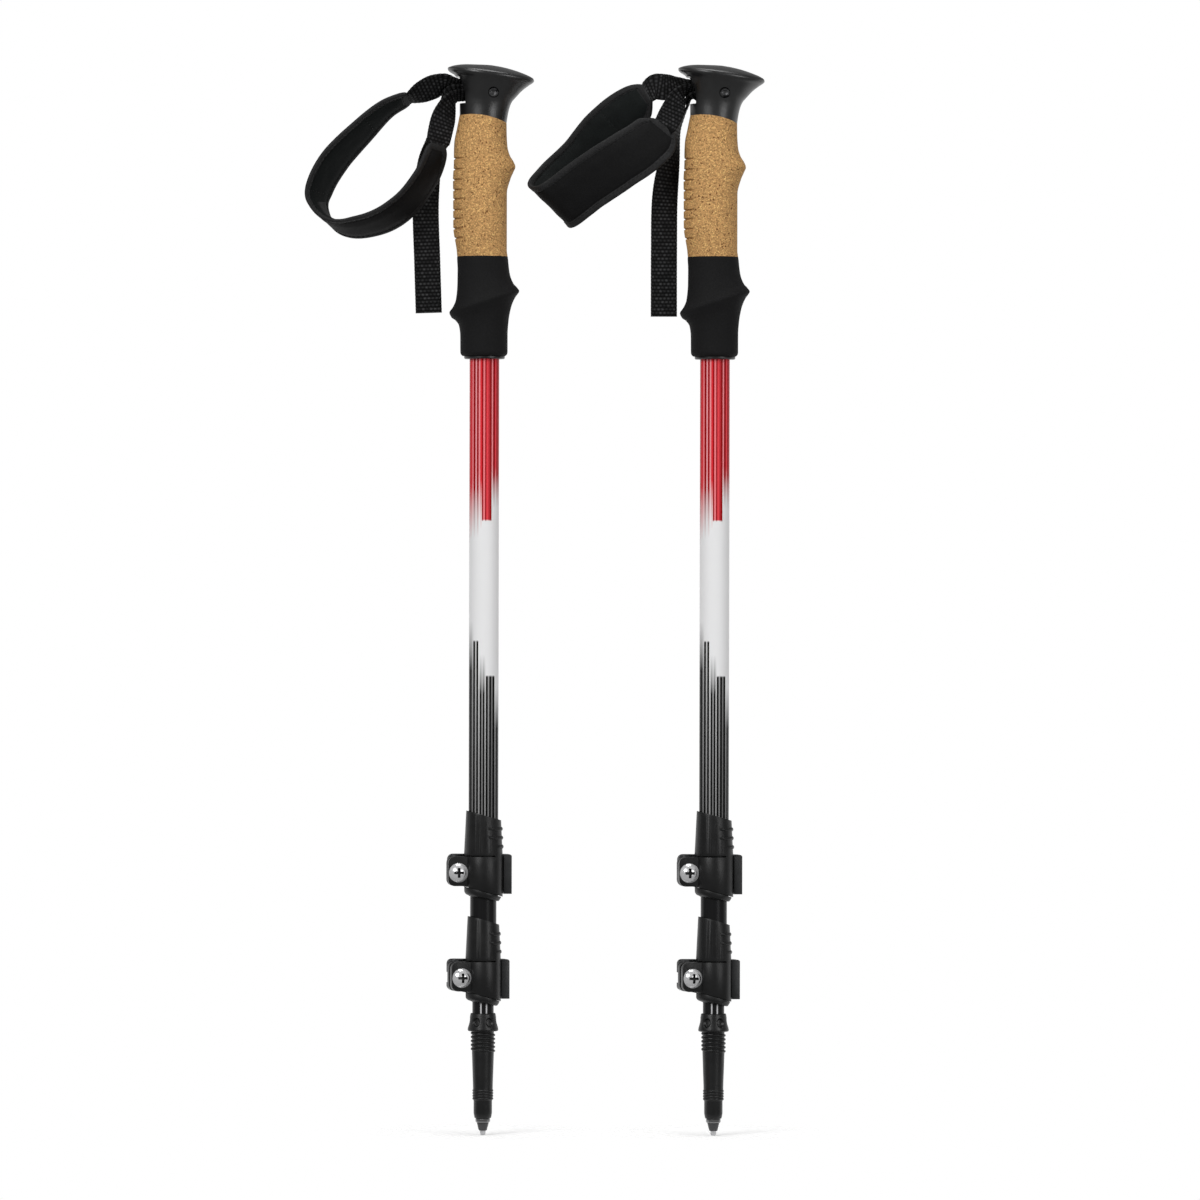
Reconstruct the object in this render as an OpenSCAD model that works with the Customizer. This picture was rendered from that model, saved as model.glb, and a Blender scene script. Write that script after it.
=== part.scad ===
// A pair of collapsed three-section trekking poles, standing on their tips.
// Millimetres, +Z up. The origin is the point of the left pole, +X runs to the right pole.

/* [Pair] */
// Distance between the two pole axes
pole_spacing = 140; // [130:1:260]
// Height of a collapsed pole, from its point to the top of its head
pole_h = 650; // [630:1:700]

/* [Tubes] */
// Outer diameter of the lower shaft
lower_od = 13; // [11:0.5:15]
// Wall of all three tubes
tube_wall = 0.7; // [0.5:0.1:1.2]
// Radial room between the lower shaft and the middle shaft
lower_play = 0.8; // [0.4:0.1:1.2]
// Radial room between the middle shaft and the upper shaft
upper_play = 0.3; // [0.2:0.1:1]
// Length of the part of a guide bush that runs in the next tube up
guide_h = 14; // [8:1:24]
// Length of the part of a guide bush that sits in its own tube
guide_plug_h = 20; // [8:1:30]

/* [Grip] */
// Height of the head, from its joint with the cork to its top
head_h = 33.4; // [31:0.2:40]
// Height of the cork
cork_h = 83.2; // [70:0.2:100]
// Height of the foam
foam_h = 60.4; // [50:0.2:80]
// Wall of the head's core, the sleeve inside the cork
core_wall = 2; // [1.5:0.1:3]
// Height of the ring under the foam
end_ring_h = 1.8; // [1:0.1:4]
// Diameter of the strap screw
strap_screw_d = 4; // [3:0.1:5]
// Diameter of the strap screw's head
strap_screw_head_d = 5.6; // [5.2:0.1:7]

// Number of finger grooves across the back of the cork
groove_count = 9; // [0:1:10]
// Depth of a finger groove
groove_depth = 1.2; // [0.4:0.1:2]

/* [Strap] */
// Width of the webbing
strap_w = 16; // [14:0.5:17]
// Thickness of the webbing
strap_t = 1.4; // [1:0.1:1.8]
// Width of the hand pad
pad_w = 33; // [26:1:36]
// Thickness of the hand pad
pad_t = 4; // [3:0.2:5]

/* [Clamps] */
// Height of the upper clamp's slit when the pole is collapsed
upper_clamp_z = 169.5; // [164:0.5:200]
// Height of the lower clamp's slit when the pole is collapsed
lower_clamp_z = 105.7; // [102:0.5:110]
// Turn of the upper clamp about the pole
upper_clamp_turn = 8; // [-30:1:30]
// Turn of the lower clamp about the pole
lower_clamp_turn = 16; // [-30:1:30]
// Wall of the clamp over its tube
clamp_wall = 2.8; // [2.2:0.1:4]
// Slant of the clamp's ends
clamp_slant = 15.7; // [5:0.1:20]
// Height of the sleeve above the slit
sleeve_h = 24.6; // [22:0.2:34]
// How much the sleeve narrows towards its top
sleeve_taper = 1.2; // [0:0.1:1.4]
// Height of the band below the slit
band_h = 21.5; // [20:0.1:23]
// Width of the slit and of the liner's groove
slit_w = 0.8; // [0.5:0.1:1.5]
// Reach of the ears beyond the band
ear_reach = 10.2; // [9:0.1:13]
// Height of the ears
ear_h = 17.8; // [16:0.1:18]
// Thickness of one ear
ear_t = 4.3; // [3:0.1:5.5]
// Gap between the ears
ear_gap = 2.4; // [1.5:0.1:3.5]
// Corner radius of the ears
ear_round = 4; // [1:0.5:6]
// Diameter of the tension screw
screw_d = 4; // [3:0.1:4.6]
// Diameter of the tension screw's head
screw_head_d = 11.8; // [9:0.1:12.6]
// Height of the tension screw's head
screw_head_h = 3.2; // [2.4:0.1:4.5]
// Diameter of the barrel that the lever turns on
barrel_d = 7; // [6.2:0.1:7.6]
// Wall of the lever's eye round the barrel
eye_wall = 1.6; // [1.2:0.1:2.4]
// How much the lever's eye is off centre, which squeezes the ears
cam_throw = 0.6; // [0.2:0.1:0.9]
// Thickness of the lever's arm behind the band
lever_t = 3; // [2:0.1:4]
// Extra thickness of the lever at its finger end
lever_flare = 1.9; // [0:0.1:3]
// Height of the lever's finger end
lever_h = 24; // [20:0.5:24.5]

/* [Tip] */
// Height of the dimpled collar
collar_h = 10.9; // [9:0.1:14]
// Diameter of the collar at its top
collar_top_d = 15.5; // [15:0.1:18]
// Diameter of the collar at its foot
collar_foot_d = 18.7; // [18.2:0.1:22]
// Number of dimples round the collar
dimple_count = 6; // [4:1:8]
// Length of the basket thread
thread_h = 12.8; // [9:0.1:16]
// Outer diameter of the basket thread
thread_d = 15; // [14.6:0.1:15.8]
// Depth of the basket thread
thread_depth = 0.8; // [0.4:0.1:1]
// Pitch of the basket thread
thread_pitch = 2.4; // [2:0.1:3.2]
// Length of the tapered stem below the thread
stem_h = 22.4; // [15:0.1:30]
// Diameter of the stem at its foot
stem_foot_d = 12; // [11.4:0.1:12.6]
// Height of the ribbed ring
rib_ring_h = 6.5; // [4:0.1:9]
// Diameter of the ribbed ring
rib_ring_d = 12.7; // [12.3:0.1:14]
// Diameter of the nose that a rubber foot is pushed onto
nose_d = 11.2; // [10:0.1:11.8]
// Length of the straight part of the nose
nose_h = 8; // [6:0.1:12]
// Length of the taper under the nose
nose_taper_h = 3.2; // [2:0.1:5]
// Height of the bright ring
tip_ring_h = 2.6; // [1.5:0.1:4]
// Diameter of the bright ring
tip_ring_d = 9; // [8:0.1:9.8]
// Height of the steel cone
cone_h = 4.8; // [3:0.1:8]
// Diameter of the steel cone at its top
cone_top_d = 7.3; // [6.4:0.1:7.8]
// Diameter of the steel cone at its foot
cone_foot_d = 5; // [4.4:0.1:6]
// Height of the carbide tip below the cone
carbide_h = 2.8; // [1.5:0.1:5]
// Diameter of the carbide tip at its point
carbide_d = 3; // [2:0.1:3.6]

/* [Hidden] */
$fn = 64;
// Clearances: pieces that are bonded, pieces that run in each other, and flat faces that meet
bond_gap = 0.05;
run_gap = 0.05;
face_gap = 0.05;
hole_gap = 0.1;
soft_gap = 0.3;
// How far a cut runs past a face, and a length longer than any clamp piece
bite = 1;
far = 60;

middle_od = lower_od + 2 * (lower_play + tube_wall);
upper_od = middle_od + 2 * (upper_play + tube_wall);
core_r = upper_od / 2 + bond_gap + core_wall;

// Heights up the grip
joint_z = pole_h - head_h;
cork_z = joint_z - cork_h;
foam_z = cork_z - foam_h;

// Tube ends. The upper shaft stops under the strap slot, and each guide stops under the piece above it.
shaft_under_slot = 10;
slot_lift = 9.5;
slot_floor_z = joint_z + slot_lift;
upper_top = slot_floor_z - shaft_under_slot;
middle_top = upper_top - soft_gap - guide_h;
lower_top = middle_top - guide_plug_h - soft_gap - guide_h;
tube_seat = 2;
upper_foot = upper_clamp_z + tube_seat;
middle_foot = lower_clamp_z + tube_seat;

// Heights up the tip, from the point
cone_z = carbide_h;
ring_z = cone_z + cone_h;
taper_z = ring_z + tip_ring_h;
nose_z = taper_z + nose_taper_h;
rib_z = nose_z + nose_h;
stem_z = rib_z + rib_ring_h;
thread_z = stem_z + stem_h;
collar_z = thread_z + thread_h;
tip_top = collar_z + collar_h;
tube_floor = collar_z + bite;

// Grip outlines, from the foot up: share of the height, reach to the front, the back and the sides
// beyond the core, and the slope of that ring towards the front.
joint_row = [2.1, 4.3, 2.6, 0.18];
head_rows = [
    [0, each joint_row],
    [0.18, 3, 4.3, 2.8, 0.17],
    [0.31, 4.1, 4.1, 3.2, 0.16],
    [0.4, 5.4, 4, 3.8, 0.155],
    [0.5, 8, 4.4, 4.8, 0.15],
    [0.61, 11.2, 5.2, 6, 0.14],
    [0.73, 15.7, 7.4, 7.6, 0.135],
    [0.8, 18.7, 11.3, 9, 0.128],
    [0.86, 18.1, 11.6, 8.8, 0.128],
    [0.91, 13, 8, 5.5, 0.12],
    [0.97, 2, 1, -1.5, 0.09],
    [0.99, -6, -6, -7, 0.05]
];
cork_foot_row = [2.9, 5.6, 3.4, 0];
cork_rows = [
    [0, each cork_foot_row],
    [0.05, 2.4, 6, 3.8, 0],
    [0.22, 2.4, 8.1, 4.6, 0],
    [0.46, 2.4, 8.2, 4.8, 0],
    [0.57, 4.6, 8.3, 4.6, 0],
    [0.62, 6.4, 8.1, 4.5, 0],
    [0.655, 7.5, 7.9, 4.4, 0],
    [0.69, 6.5, 7.8, 4.3, 0],
    [0.74, 4.2, 7.8, 4.1, 0.02],
    [0.81, 2.7, 7.6, 3.7, 0.06],
    [0.91, 2.2, 5.9, 3, 0.13],
    [1, each joint_row]
];
foam_rows = [
    [0, 1.6, 2.2, 1.8, 0],
    [0.04, 3, 3.6, 3.2, 0],
    [0.21, 3, 3.7, 3.2, -0.03],
    [0.33, 3.6, 4.4, 3.6, -0.12],
    [0.43, 5.2, 6.6, 4.6, -0.25],
    [0.495, 7.6, 9.2, 6, -0.31],
    [0.545, 10, 10.3, 7, -0.31],
    [0.59, 8.6, 8.2, 6.2, -0.31],
    [0.645, 6.6, 6.4, 5.2, -0.28],
    [0.77, 4.4, 5.5, 4, -0.18],
    [0.89, 3.6, 5.4, 3.6, -0.05],
    [1, each cork_foot_row]
];
loft_sides = 28;

// The cork's rows again, with three more for each finger groove. A groove takes its depth from the back.
groove_first = 0.132;
groove_pitch = 0.0726;
groove_half = 0.0084;
grooves = [for (k = [0 : 1 : groove_count - 1]) groove_first + k * groove_pitch];
groove_cuts = [
    [-groove_half, 0], [0, groove_depth], [groove_half, 0], [groove_pitch / 2, 0]
];

function cork_row(share, cut) = [
    share,
    for (k = [1 : 4]) lookup(share, [for (row = cork_rows) [row[0], row[k]]]) - (k == 2 ? cut : 0)
];

groove_end = groove_first + max(0, groove_count - 1) * groove_pitch + groove_half;
cork_loft = [
    for (row = cork_rows) if (row[0] < groove_first - groove_half) row,
    for (g = grooves) for (cut = groove_cuts) if (g + cut[0] <= groove_end) cork_row(g + cut[0], cut[1]),
    for (row = cork_rows) if (row[0] > groove_end) row
];

// The strap frame: its origin is the mouth of the strap slot, where the strap turns.
mouth_reach = 3;
slot_spare = 1;
mouth_x = -(core_r + mouth_reach);
web_z = slot_floor_z + soft_gap + strap_w / 2;
slot_top_z = web_z + strap_w / 2 + soft_gap;
slot_half_w = strap_w / 2 + slot_spare;

// The strap screw, across the head under its flare, and the wedge that it holds in the slot
strap_screw_x = 5.4;
strap_screw_drop = 2;
strap_screw_face_reach = 3.15;
strap_screw_end_reach = 1.45;
strap_socket_h = 1.6;
strap_socket_share = 0.62;
wedge_wall = 1.6;
wedge_back = 9;
strap_screw_z = web_z - strap_screw_drop;
strap_screw_face = -(core_r + strap_screw_face_reach);
strap_screw_end = core_r + strap_screw_end_reach;
strap_screw_head_h = strap_screw_head_d / 2;
wedge_front_x = strap_screw_x + strap_screw_d / 2 + wedge_wall;
wedge_back_x = strap_screw_x - strap_screw_d / 2 - wedge_back;

// Strap routes, from the strap frame: a point, the way its width lies, and its share of the full width
left_pad_route = [
    [-32, -2, -5, -0.3, -0.9, 0.3, 0.55],
    [-46, -3, -12, -0.37, -0.89, 0.28, 0.68],
    [-61, -4, -26, -0.37, -0.89, 0.28, 0.88],
    [-76, -5, -42, -0.37, -0.89, 0.28, 1],
    [-85, -6, -57, -0.37, -0.89, 0.28, 1],
    [-87, -6, -69, -0.37, -0.89, 0.28, 1],
    [-80, -7, -80, -0.37, -0.89, 0.28, 1],
    [-67, -7, -84, -0.37, -0.89, 0.28, 1],
    [-49, -8, -80, -0.37, -0.89, 0.28, 1],
    [-34, -8, -70, -0.37, -0.89, 0.28, 0.96],
    [-22.5, -9, -55, -0.42, -0.87, 0.24, 0.85],
    [-17, -9.4, -43.5, -0.62, -0.76, 0.18, 0.64],
    [-14.4, -9, -33, -0.85, -0.5, 0.1, 0.4]
];
left_web_upper = [
    [6, 0, 3.1, 0, -0.8, 0.6, 0.66],
    [-1, 0, 3.1, 0, -0.8, 0.6, 0.68],
    [-6, -0.7, 3.6, 0, -0.78, 0.63, 0.82],
    [-11, -1.6, 4.2, 0, -0.7, 0.72, 0.95],
    [-17, -2.3, 2, 0, -0.45, 0.9, 1],
    [-24, -2.3, -1.2, -0.1, -0.6, 0.8, 1],
    [-31, -2, -4.6, -0.3, -0.9, 0.3, 1]
];
left_web_lower = [
    [-14.2, -9, -32, -0.85, -0.5, 0.1, 1],
    [-13, -8, -26, -0.92, -0.4, 0, 1],
    [-11.4, -6.6, -19, -0.9, -0.42, 0, 1],
    [-9, -4.2, -12, -0.72, -0.7, 0, 1],
    [-6.4, -1.8, -6.5, -0.5, -0.85, 0.1, 0.92],
    [-4, -0.5, -3.8, -0.2, -0.85, 0.4, 0.8],
    [-1, 0, -3, 0, -0.8, 0.6, 0.7],
    [6, 0, -3, 0, -0.8, 0.6, 0.66]
];
left_tail_route = [
    [6, 0, 0, 0, -0.8, 0.6, 0.66],
    [-1, 0, 0, 0, -0.8, 0.6, 0.68],
    [-6, 1, -0.7, 0, -0.85, 0.5, 0.8],
    [-10.4, 2.6, -4, 0, -0.95, 0.2, 0.9],
    [-13, 4.2, -11, -0.1, -1, 0, 0.95],
    [-15, 5.8, -20, -0.3, -0.95, 0, 1],
    [-17.2, 7.4, -31, -0.6, -0.8, 0, 1],
    [-20, 8.4, -45, -0.88, -0.45, 0, 1],
    [-22, 9, -70, -1, -0.1, 0, 1],
    [-21, 9, -104, -1, 0, 0, 1],
    [-20, 9, -135, -1, 0, 0, 1]
];
right_pad_route = [
    [-27, 12, 0, 0.4, -0.5, -0.75, 0.55],
    [-32, 15, -5, 0.6, -0.3, -0.75, 0.75],
    [-41, 19, -14, 0.66, -0.1, -0.75, 0.94],
    [-53, 22, -26, 0.66, 0, -0.75, 1],
    [-66, 22, -42, 0.66, 0, -0.75, 1],
    [-80, 17, -56, 0.7, 0, -0.7, 1],
    [-87, 2, -66, 0.74, 0, -0.67, 1],
    [-81, -13, -70, 0.7, 0, -0.7, 1],
    [-64, -20, -58, 0.66, 0, -0.75, 1],
    [-46, -22, -46, 0.66, 0, -0.75, 1],
    [-31, -19, -36, 0.66, -0.1, -0.75, 0.98],
    [-22, -14, -28, 0.66, -0.1, -0.75, 0.9],
    [-17, -10, -22, 0.68, -0.1, -0.73, 0.68]
];
right_web_upper = [
    [6, 0, 3.1, 0, -0.8, 0.6, 0.66],
    [-1, 0.3, 3.1, 0, -0.8, 0.6, 0.68],
    [-6, 2.2, 3, 0, -0.65, 0.76, 0.8],
    [-11, 4.8, 2.5, 0, -0.35, 0.94, 0.92],
    [-17, 7.6, 2.6, 0, 0, 1, 1],
    [-22.5, 9.5, 3, -0.25, 0.25, 0.9, 1],
    [-26.4, 11.6, 0.6, -0.4, 0.5, 0.75, 1]
];
right_web_lower = [
    [-16.3, -9.5, -21.1, -0.68, 0.1, 0.73, 0.9],
    [-12.9, -8, -14.6, -0.78, 0, 0.62, 0.94],
    [-9.6, -7, -6.6, -0.75, -0.22, 0.6, 0.8],
    [-5.4, -3.8, -0.9, -0.4, -0.8, 0.45, 0.7],
    [-1, -0.8, 0.2, 0, -0.8, 0.6, 0.66],
    [6, 0, 0, 0, -0.8, 0.6, 0.66]
];
right_tail_route = [
    [6, 0, -3.2, 0, -0.8, 0.6, 0.66],
    [-0.6, 2, -4.2, 0, -0.9, 0.4, 0.62],
    [-3.1, 6, -9.4, 0, -1, 0.1, 0.6],
    [-5.8, 7.6, -15.5, -0.1, -1, 0, 0.76],
    [-10, 7, -26, -0.35, -0.93, 0, 0.95],
    [-14, 6.4, -44, -0.8, -0.6, 0, 1],
    [-16.6, 6.4, -66, -1, -0.2, 0, 1],
    [-17, 7, -96, -1, 0, 0, 1],
    [-17, 7, -137, -1, 0, 0, 1]
];
route_steps = 3;

// Places
module left() {
    children();
}

module right() {
    translate([pole_spacing, 0, 0]) children();
}

module at_upper_clamp() {
    translate([0, 0, upper_clamp_z]) rotate([0, 0, upper_clamp_turn]) children();
}

module at_lower_clamp() {
    translate([0, 0, lower_clamp_z]) rotate([0, 0, lower_clamp_turn]) children();
}

module at_strap() {
    translate([mouth_x, 0, web_z]) children();
}

// A straight tube or rod between two heights
module rod(r, z0, z1) {
    translate([0, 0, z0]) cylinder(r = r, h = z1 - z0);
}

module pipe(r_out, r_in, z0, z1) {
    difference() {
        rod(r_out, z0, z1);
        rod(r_in, z0 - bite, z1 + bite);
    }
}

// Everything above or below a plane that slopes down towards +X
module above_slope(slant) {
    rotate([0, slant, 0]) translate([-far, -far, 0]) cube([2 * far, 2 * far, 2 * far]);
}

module below_slope(slant) {
    mirror([0, 0, 1]) above_slope(-slant);
}

// A closed shell through rings of a grip outline, standing on height z0
function ring_point(row, z0, h, a) =
    let (x = (core_r + (cos(a) > 0 ? row[1] : row[2])) * cos(a))
    [x, (core_r + row[3]) * sin(a), z0 + row[0] * h - row[4] * x];

module grip_loft(rows, z0, h) {
    n = loft_sides;
    skin([for (row = rows) [for (k = [0 : n - 1]) ring_point(row, z0, h, 360 * k / n)]]);
}

// A closed solid through rings that each have the same number of points
module skin(rings) {
    n = len(rings[0]);
    last = len(rings) - 1;
    walls = [
        for (i = [0 : last - 1]) for (k = [0 : n - 1])
            let (a = i * n + k, b = i * n + (k + 1) % n)
            each [[a, a + n, b], [b, a + n, b + n]]
    ];
    foot = [for (k = [0 : n - 1]) k];
    top = [for (k = [n - 1 : -1 : 0]) last * n + k];
    polyhedron([for (ring = rings) each ring], [each walls, foot, top]);
}

// A smooth curve through the rows of a route
function curve(p, i, u) =
    let (a = p[max(i - 1, 0)], b = p[i], c = p[i + 1], d = p[min(i + 2, len(p) - 1)])
    b + 0.5 * u * (c - a + u * (2 * a - 5 * b + 4 * c - d + u * (3 * b - 3 * c + d - a)));

function smooth_route(p) = [
    for (i = [0 : len(p) - 2]) for (k = [0 : route_steps - 1]) curve(p, i, k / route_steps),
    p[len(p) - 1]
];

function unit(v) = v / norm(v);

function place(row) = [row[0], row[1], row[2]];

function along(p, i) = unit(place(p[min(i + 1, len(p) - 1)]) - place(p[max(i - 1, 0)]));

// One ring of a flat band: corners of a plate with eased edges, square to the route
function band_ring(p, i, width, thick) =
    let (
        t = along(p, i),
        w = [p[i][3], p[i][4], p[i][5]],
        across = unit(w - t * (t * w)),
        out = cross(t, across),
        half = width * p[i][6] / 2,
        flat = half - thick / 3,
        corners = [
            [half, thick / 6], [flat, thick / 2], [-flat, thick / 2], [-half, thick / 6],
            [-half, -thick / 6], [-flat, -thick / 2], [flat, -thick / 2], [half, -thick / 6]
        ]
    )
    [for (c = corners) place(p[i]) + c[0] * across + c[1] * out];

module band(route, width, thick) {
    p = smooth_route(route);
    skin([for (i = [0 : len(p) - 1]) band_ring(p, i, width, thick)]);
}

// Grip pieces
module grip_head() {
    color("#1b1c1d")
    difference() {
        union() {
            grip_loft(head_rows, joint_z, head_h);
            rod(core_r, cork_z + soft_gap, joint_z + bite);
        }
        rod(upper_od / 2 + bond_gap, cork_z - bite, upper_top + soft_gap);
        translate([-far, -slot_half_w, slot_floor_z])
            cube([far + wedge_front_x + soft_gap, 2 * slot_half_w, slot_top_z - slot_floor_z]);
        translate([strap_screw_x, 0, strap_screw_z]) rotate([-90, 0, 0]) {
            rod(strap_screw_d / 2 + bond_gap, -far / 2, strap_screw_end + face_gap);
            rod(strap_screw_head_d / 2 + soft_gap, -far / 2, strap_screw_face + strap_screw_head_h);
        }
    }
}

module strap_screw() {
    color("#2a2b2d")
    translate([strap_screw_x, 0, strap_screw_z]) rotate([-90, 0, 0]) difference() {
        union() {
            rod(strap_screw_d / 2, strap_screw_face, strap_screw_end);
            rod(strap_screw_head_d / 2, strap_screw_face, strap_screw_face + strap_screw_head_h - face_gap);
        }
        translate([0, 0, strap_screw_face - bite])
            cylinder(d = strap_socket_share * strap_screw_head_d, h = bite + strap_socket_h, $fn = 6);
    }
}

module strap_wedge() {
    color("#222324")
    difference() {
        translate([wedge_back_x, -slot_half_w + soft_gap, slot_floor_z + soft_gap])
            cube([
                wedge_front_x - wedge_back_x,
                2 * (slot_half_w - soft_gap),
                slot_top_z - slot_floor_z - 2 * soft_gap
            ]);
        translate([strap_screw_x, 0, strap_screw_z]) rotate([-90, 0, 0])
            rod(strap_screw_d / 2 + bond_gap, -far, far);
    }
}

module cork_grip() {
    color("#c79a5e")
    difference() {
        grip_loft(cork_loft, cork_z, cork_h);
        rod(core_r + bond_gap, cork_z - bite, pole_h);
    }
}

module foam_grip() {
    color("#232425")
    difference() {
        grip_loft(foam_rows, foam_z, foam_h);
        rod(upper_od / 2 + bond_gap, foam_z - bite, pole_h);
    }
}

module grip_end_ring() {
    color("#2c2d2e")
    pipe(core_r + foam_rows[0][1] - soft_gap, upper_od / 2 + bond_gap, foam_z - end_ring_h, foam_z - face_gap);
}

// Tubes and their guide bushes
module upper_shaft() {
    color("#d9d9da") pipe(upper_od / 2, upper_od / 2 - tube_wall, upper_foot, upper_top);
}

module middle_shaft() {
    color("#1c1c1d") pipe(middle_od / 2, middle_od / 2 - tube_wall, middle_foot, middle_top);
}

module lower_shaft() {
    color("#1c1c1d") pipe(lower_od / 2, lower_od / 2 - tube_wall, tube_floor, lower_top);
}

module guide(own_od, outer_od, z) {
    bush_r = outer_od / 2 - tube_wall - run_gap;
    plug_r = own_od / 2 - tube_wall - bond_gap;
    color("#3a3b3c")
    difference() {
        union() {
            rod(bush_r, z + face_gap, z + guide_h);
            rod(plug_r, z - guide_plug_h, z + bite);
        }
        rod(plug_r / 2, z - far, z + far);
    }
}

module middle_guide() {
    guide(middle_od, upper_od, middle_top);
}

module lower_guide() {
    guide(lower_od, middle_od, lower_top);
}

// Lever clamps, drawn about the pole axis with the slit at height 0
rib_count = 3;
rib_pitch = 5.4;
rib_first_z = 5.6;
rib_r = 1.4;
rib_proud = 0.8;
rib_span = 124;
rib_shift = 1.6;
lip_slant = 9.6;
lip_drop = 4.4;
lip_inset = 0.2;
lip_bevel = 3;
lip_edge = 1.8;
lever_rise = 0.9;
lever_room = 0.6;
screw_from_band = 4;
screw_drop = 0.8;
recess_w = 1.6;
recess_h = 1.9;
dome_share = 0.62;
barrel_inset = 0.4;
fork_spare = 2.4;
ear_top = -slit_w / 2;
screw_z = ear_top - ear_h / 2 - screw_drop;
fork_gap = screw_d + fork_spare;
eye_r = barrel_d / 2 + run_gap + eye_wall;
barrel_y = ear_gap / 2 + ear_t + soft_gap / 2 + eye_r + cam_throw;

function band_r(tube_od) = tube_od / 2 + clamp_wall;

// Outside of the sleeve at a height above the slit
function sleeve_r(tube_od, z) = band_r(tube_od) - sleeve_taper * z / sleeve_h;

function screw_x(tube_od) = -(band_r(tube_od) + screw_from_band);

module screw_axis(tube_od) {
    translate([screw_x(tube_od), 0, screw_z]) rotate([-90, 0, 0]) children();
}

module ear(tube_od) {
    edge_x = -(band_r(tube_od) + ear_reach);
    foot = ear_top - ear_h;
    length = -edge_x - tube_od / 2;
    translate([0, ear_gap / 2, 0]) {
        translate([edge_x + ear_round, 0, foot]) cube([length - ear_round, ear_t, ear_h]);
        translate([edge_x, 0, foot + ear_round]) cube([length, ear_t, ear_h - 2 * ear_round]);
        for (z = [foot + ear_round, ear_top - ear_round])
            translate([edge_x + ear_round, 0, z]) rotate([-90, 0, 0]) cylinder(r = ear_round, h = ear_t);
    }
}

module clamp_body(tube_od) {
    r = band_r(tube_od);
    color("#1f2021")
    difference() {
        union() {
            difference() {
                rotate_extrude() polygon([
                    [0, -far / 2], [r, -far / 2], [r, 0], [sleeve_r(tube_od, far / 2), far / 2], [0, far / 2]
                ]);
                translate([0, 0, sleeve_h]) above_slope(clamp_slant);
                translate([0, 0, -band_h]) below_slope(clamp_slant);
            }
            ear(tube_od);
            mirror([0, 1, 0]) ear(tube_od);
            for (z = [for (k = [0 : rib_count - 1]) rib_first_z + k * rib_pitch])
                translate([rib_shift, 0, z]) rotate([0, 0, -rib_span / 2])
                    rotate_extrude(angle = rib_span)
                        translate([sleeve_r(tube_od, z) + rib_proud - rib_r - rib_shift, 0])
                            circle(r = rib_r, $fn = 24);
        }
        rod(tube_od / 2 + bond_gap, -far, far);
        translate([-far, -far / 2, -slit_w / 2]) cube([far + tube_od / 3, far, slit_w]);
        translate([-far, -ear_gap / 2, -far]) cube([far, ear_gap, far]);
        screw_axis(tube_od) {
            rod(screw_d / 2 + hole_gap, -far / 2, far / 2);
            rod(screw_head_d / 2 + soft_gap, -far / 2, -ear_gap / 2 - ear_t);
        }
    }
}

module clamp_liner(tube_od, inner_od) {
    lip_r = band_r(tube_od) - lip_inset;
    lip_foot = -band_h - lip_drop;
    color("#2b2b2c")
    difference() {
        union() {
            rod(tube_od / 2, lip_foot - lip_bevel, tube_seat - soft_gap);
            difference() {
                union() {
                    rod(lip_r, lip_foot + lip_edge, lip_foot + far / 2);
                    translate([0, 0, lip_foot - lip_bevel])
                        cylinder(r1 = lip_r - lip_bevel, r2 = lip_r, h = lip_bevel + lip_edge);
                }
                translate([0, 0, -band_h - slit_w]) above_slope(clamp_slant);
            }
        }
        translate([0, 0, lip_foot]) below_slope(lip_slant);
        rod(inner_od / 2 + run_gap, -far, far);
        translate([-far, -slit_w / 2, -far]) cube([far, slit_w, 2 * far]);
    }
}

module clamp_barrel(tube_od) {
    color("#8d9093")
    difference() {
        translate([screw_x(tube_od), barrel_y, 0])
            rod(barrel_d / 2, ear_top - ear_h + barrel_inset, ear_top - barrel_inset);
        screw_axis(tube_od) rod(screw_d / 2 + run_gap, -far, far);
    }
}

module clamp_screw(tube_od) {
    face = -ear_gap / 2 - ear_t - face_gap;
    dome_r = screw_head_d * dome_share;
    color("#d5d7d9")
    screw_axis(tube_od) difference() {
        union() {
            rod(screw_d / 2, face - bite / 2, barrel_y + barrel_d / 4);
            intersection() {
                rod(screw_head_d / 2, face - screw_head_h, face);
                translate([0, 0, face - screw_head_h + dome_r]) sphere(r = dome_r);
            }
        }
        for (a = [0, 90]) rotate([0, 0, a])
            translate([-screw_head_d / 4, -recess_w / 2, face - screw_head_h - bite])
                cube([screw_head_d / 2, recess_w, bite + recess_h]);
    }
}

// The lever: an arm that thickens round the band towards its finger end, and a forked eye on the barrel
lever_root_angle = 112;
lever_root_bite = 6;
lever_end_angle = -6;
eye_corner = 4;
finger_corner = 1.6;

function lever_foot(tube_od, x) = lever_rise - lever_h + (band_r(tube_od) - x) * tan(lip_slant);

// The lever seen from the front, with rounded corners, right through the clamp
module lever_side(tube_od) {
    left = screw_x(tube_od) - eye_r;
    right = band_r(tube_od) + lever_room + lever_t + lever_flare;
    rotate([90, 0, 0]) linear_extrude(height = 2 * far, center = true) hull() {
        for (z = [lever_foot(tube_od, left) + eye_corner, lever_rise - eye_corner])
            translate([left + eye_corner, z]) circle(r = eye_corner, $fn = 32);
        for (z = [lever_foot(tube_od, right) + finger_corner, lever_rise - finger_corner])
            translate([right - finger_corner, z]) circle(r = finger_corner, $fn = 24);
    }
}

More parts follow.
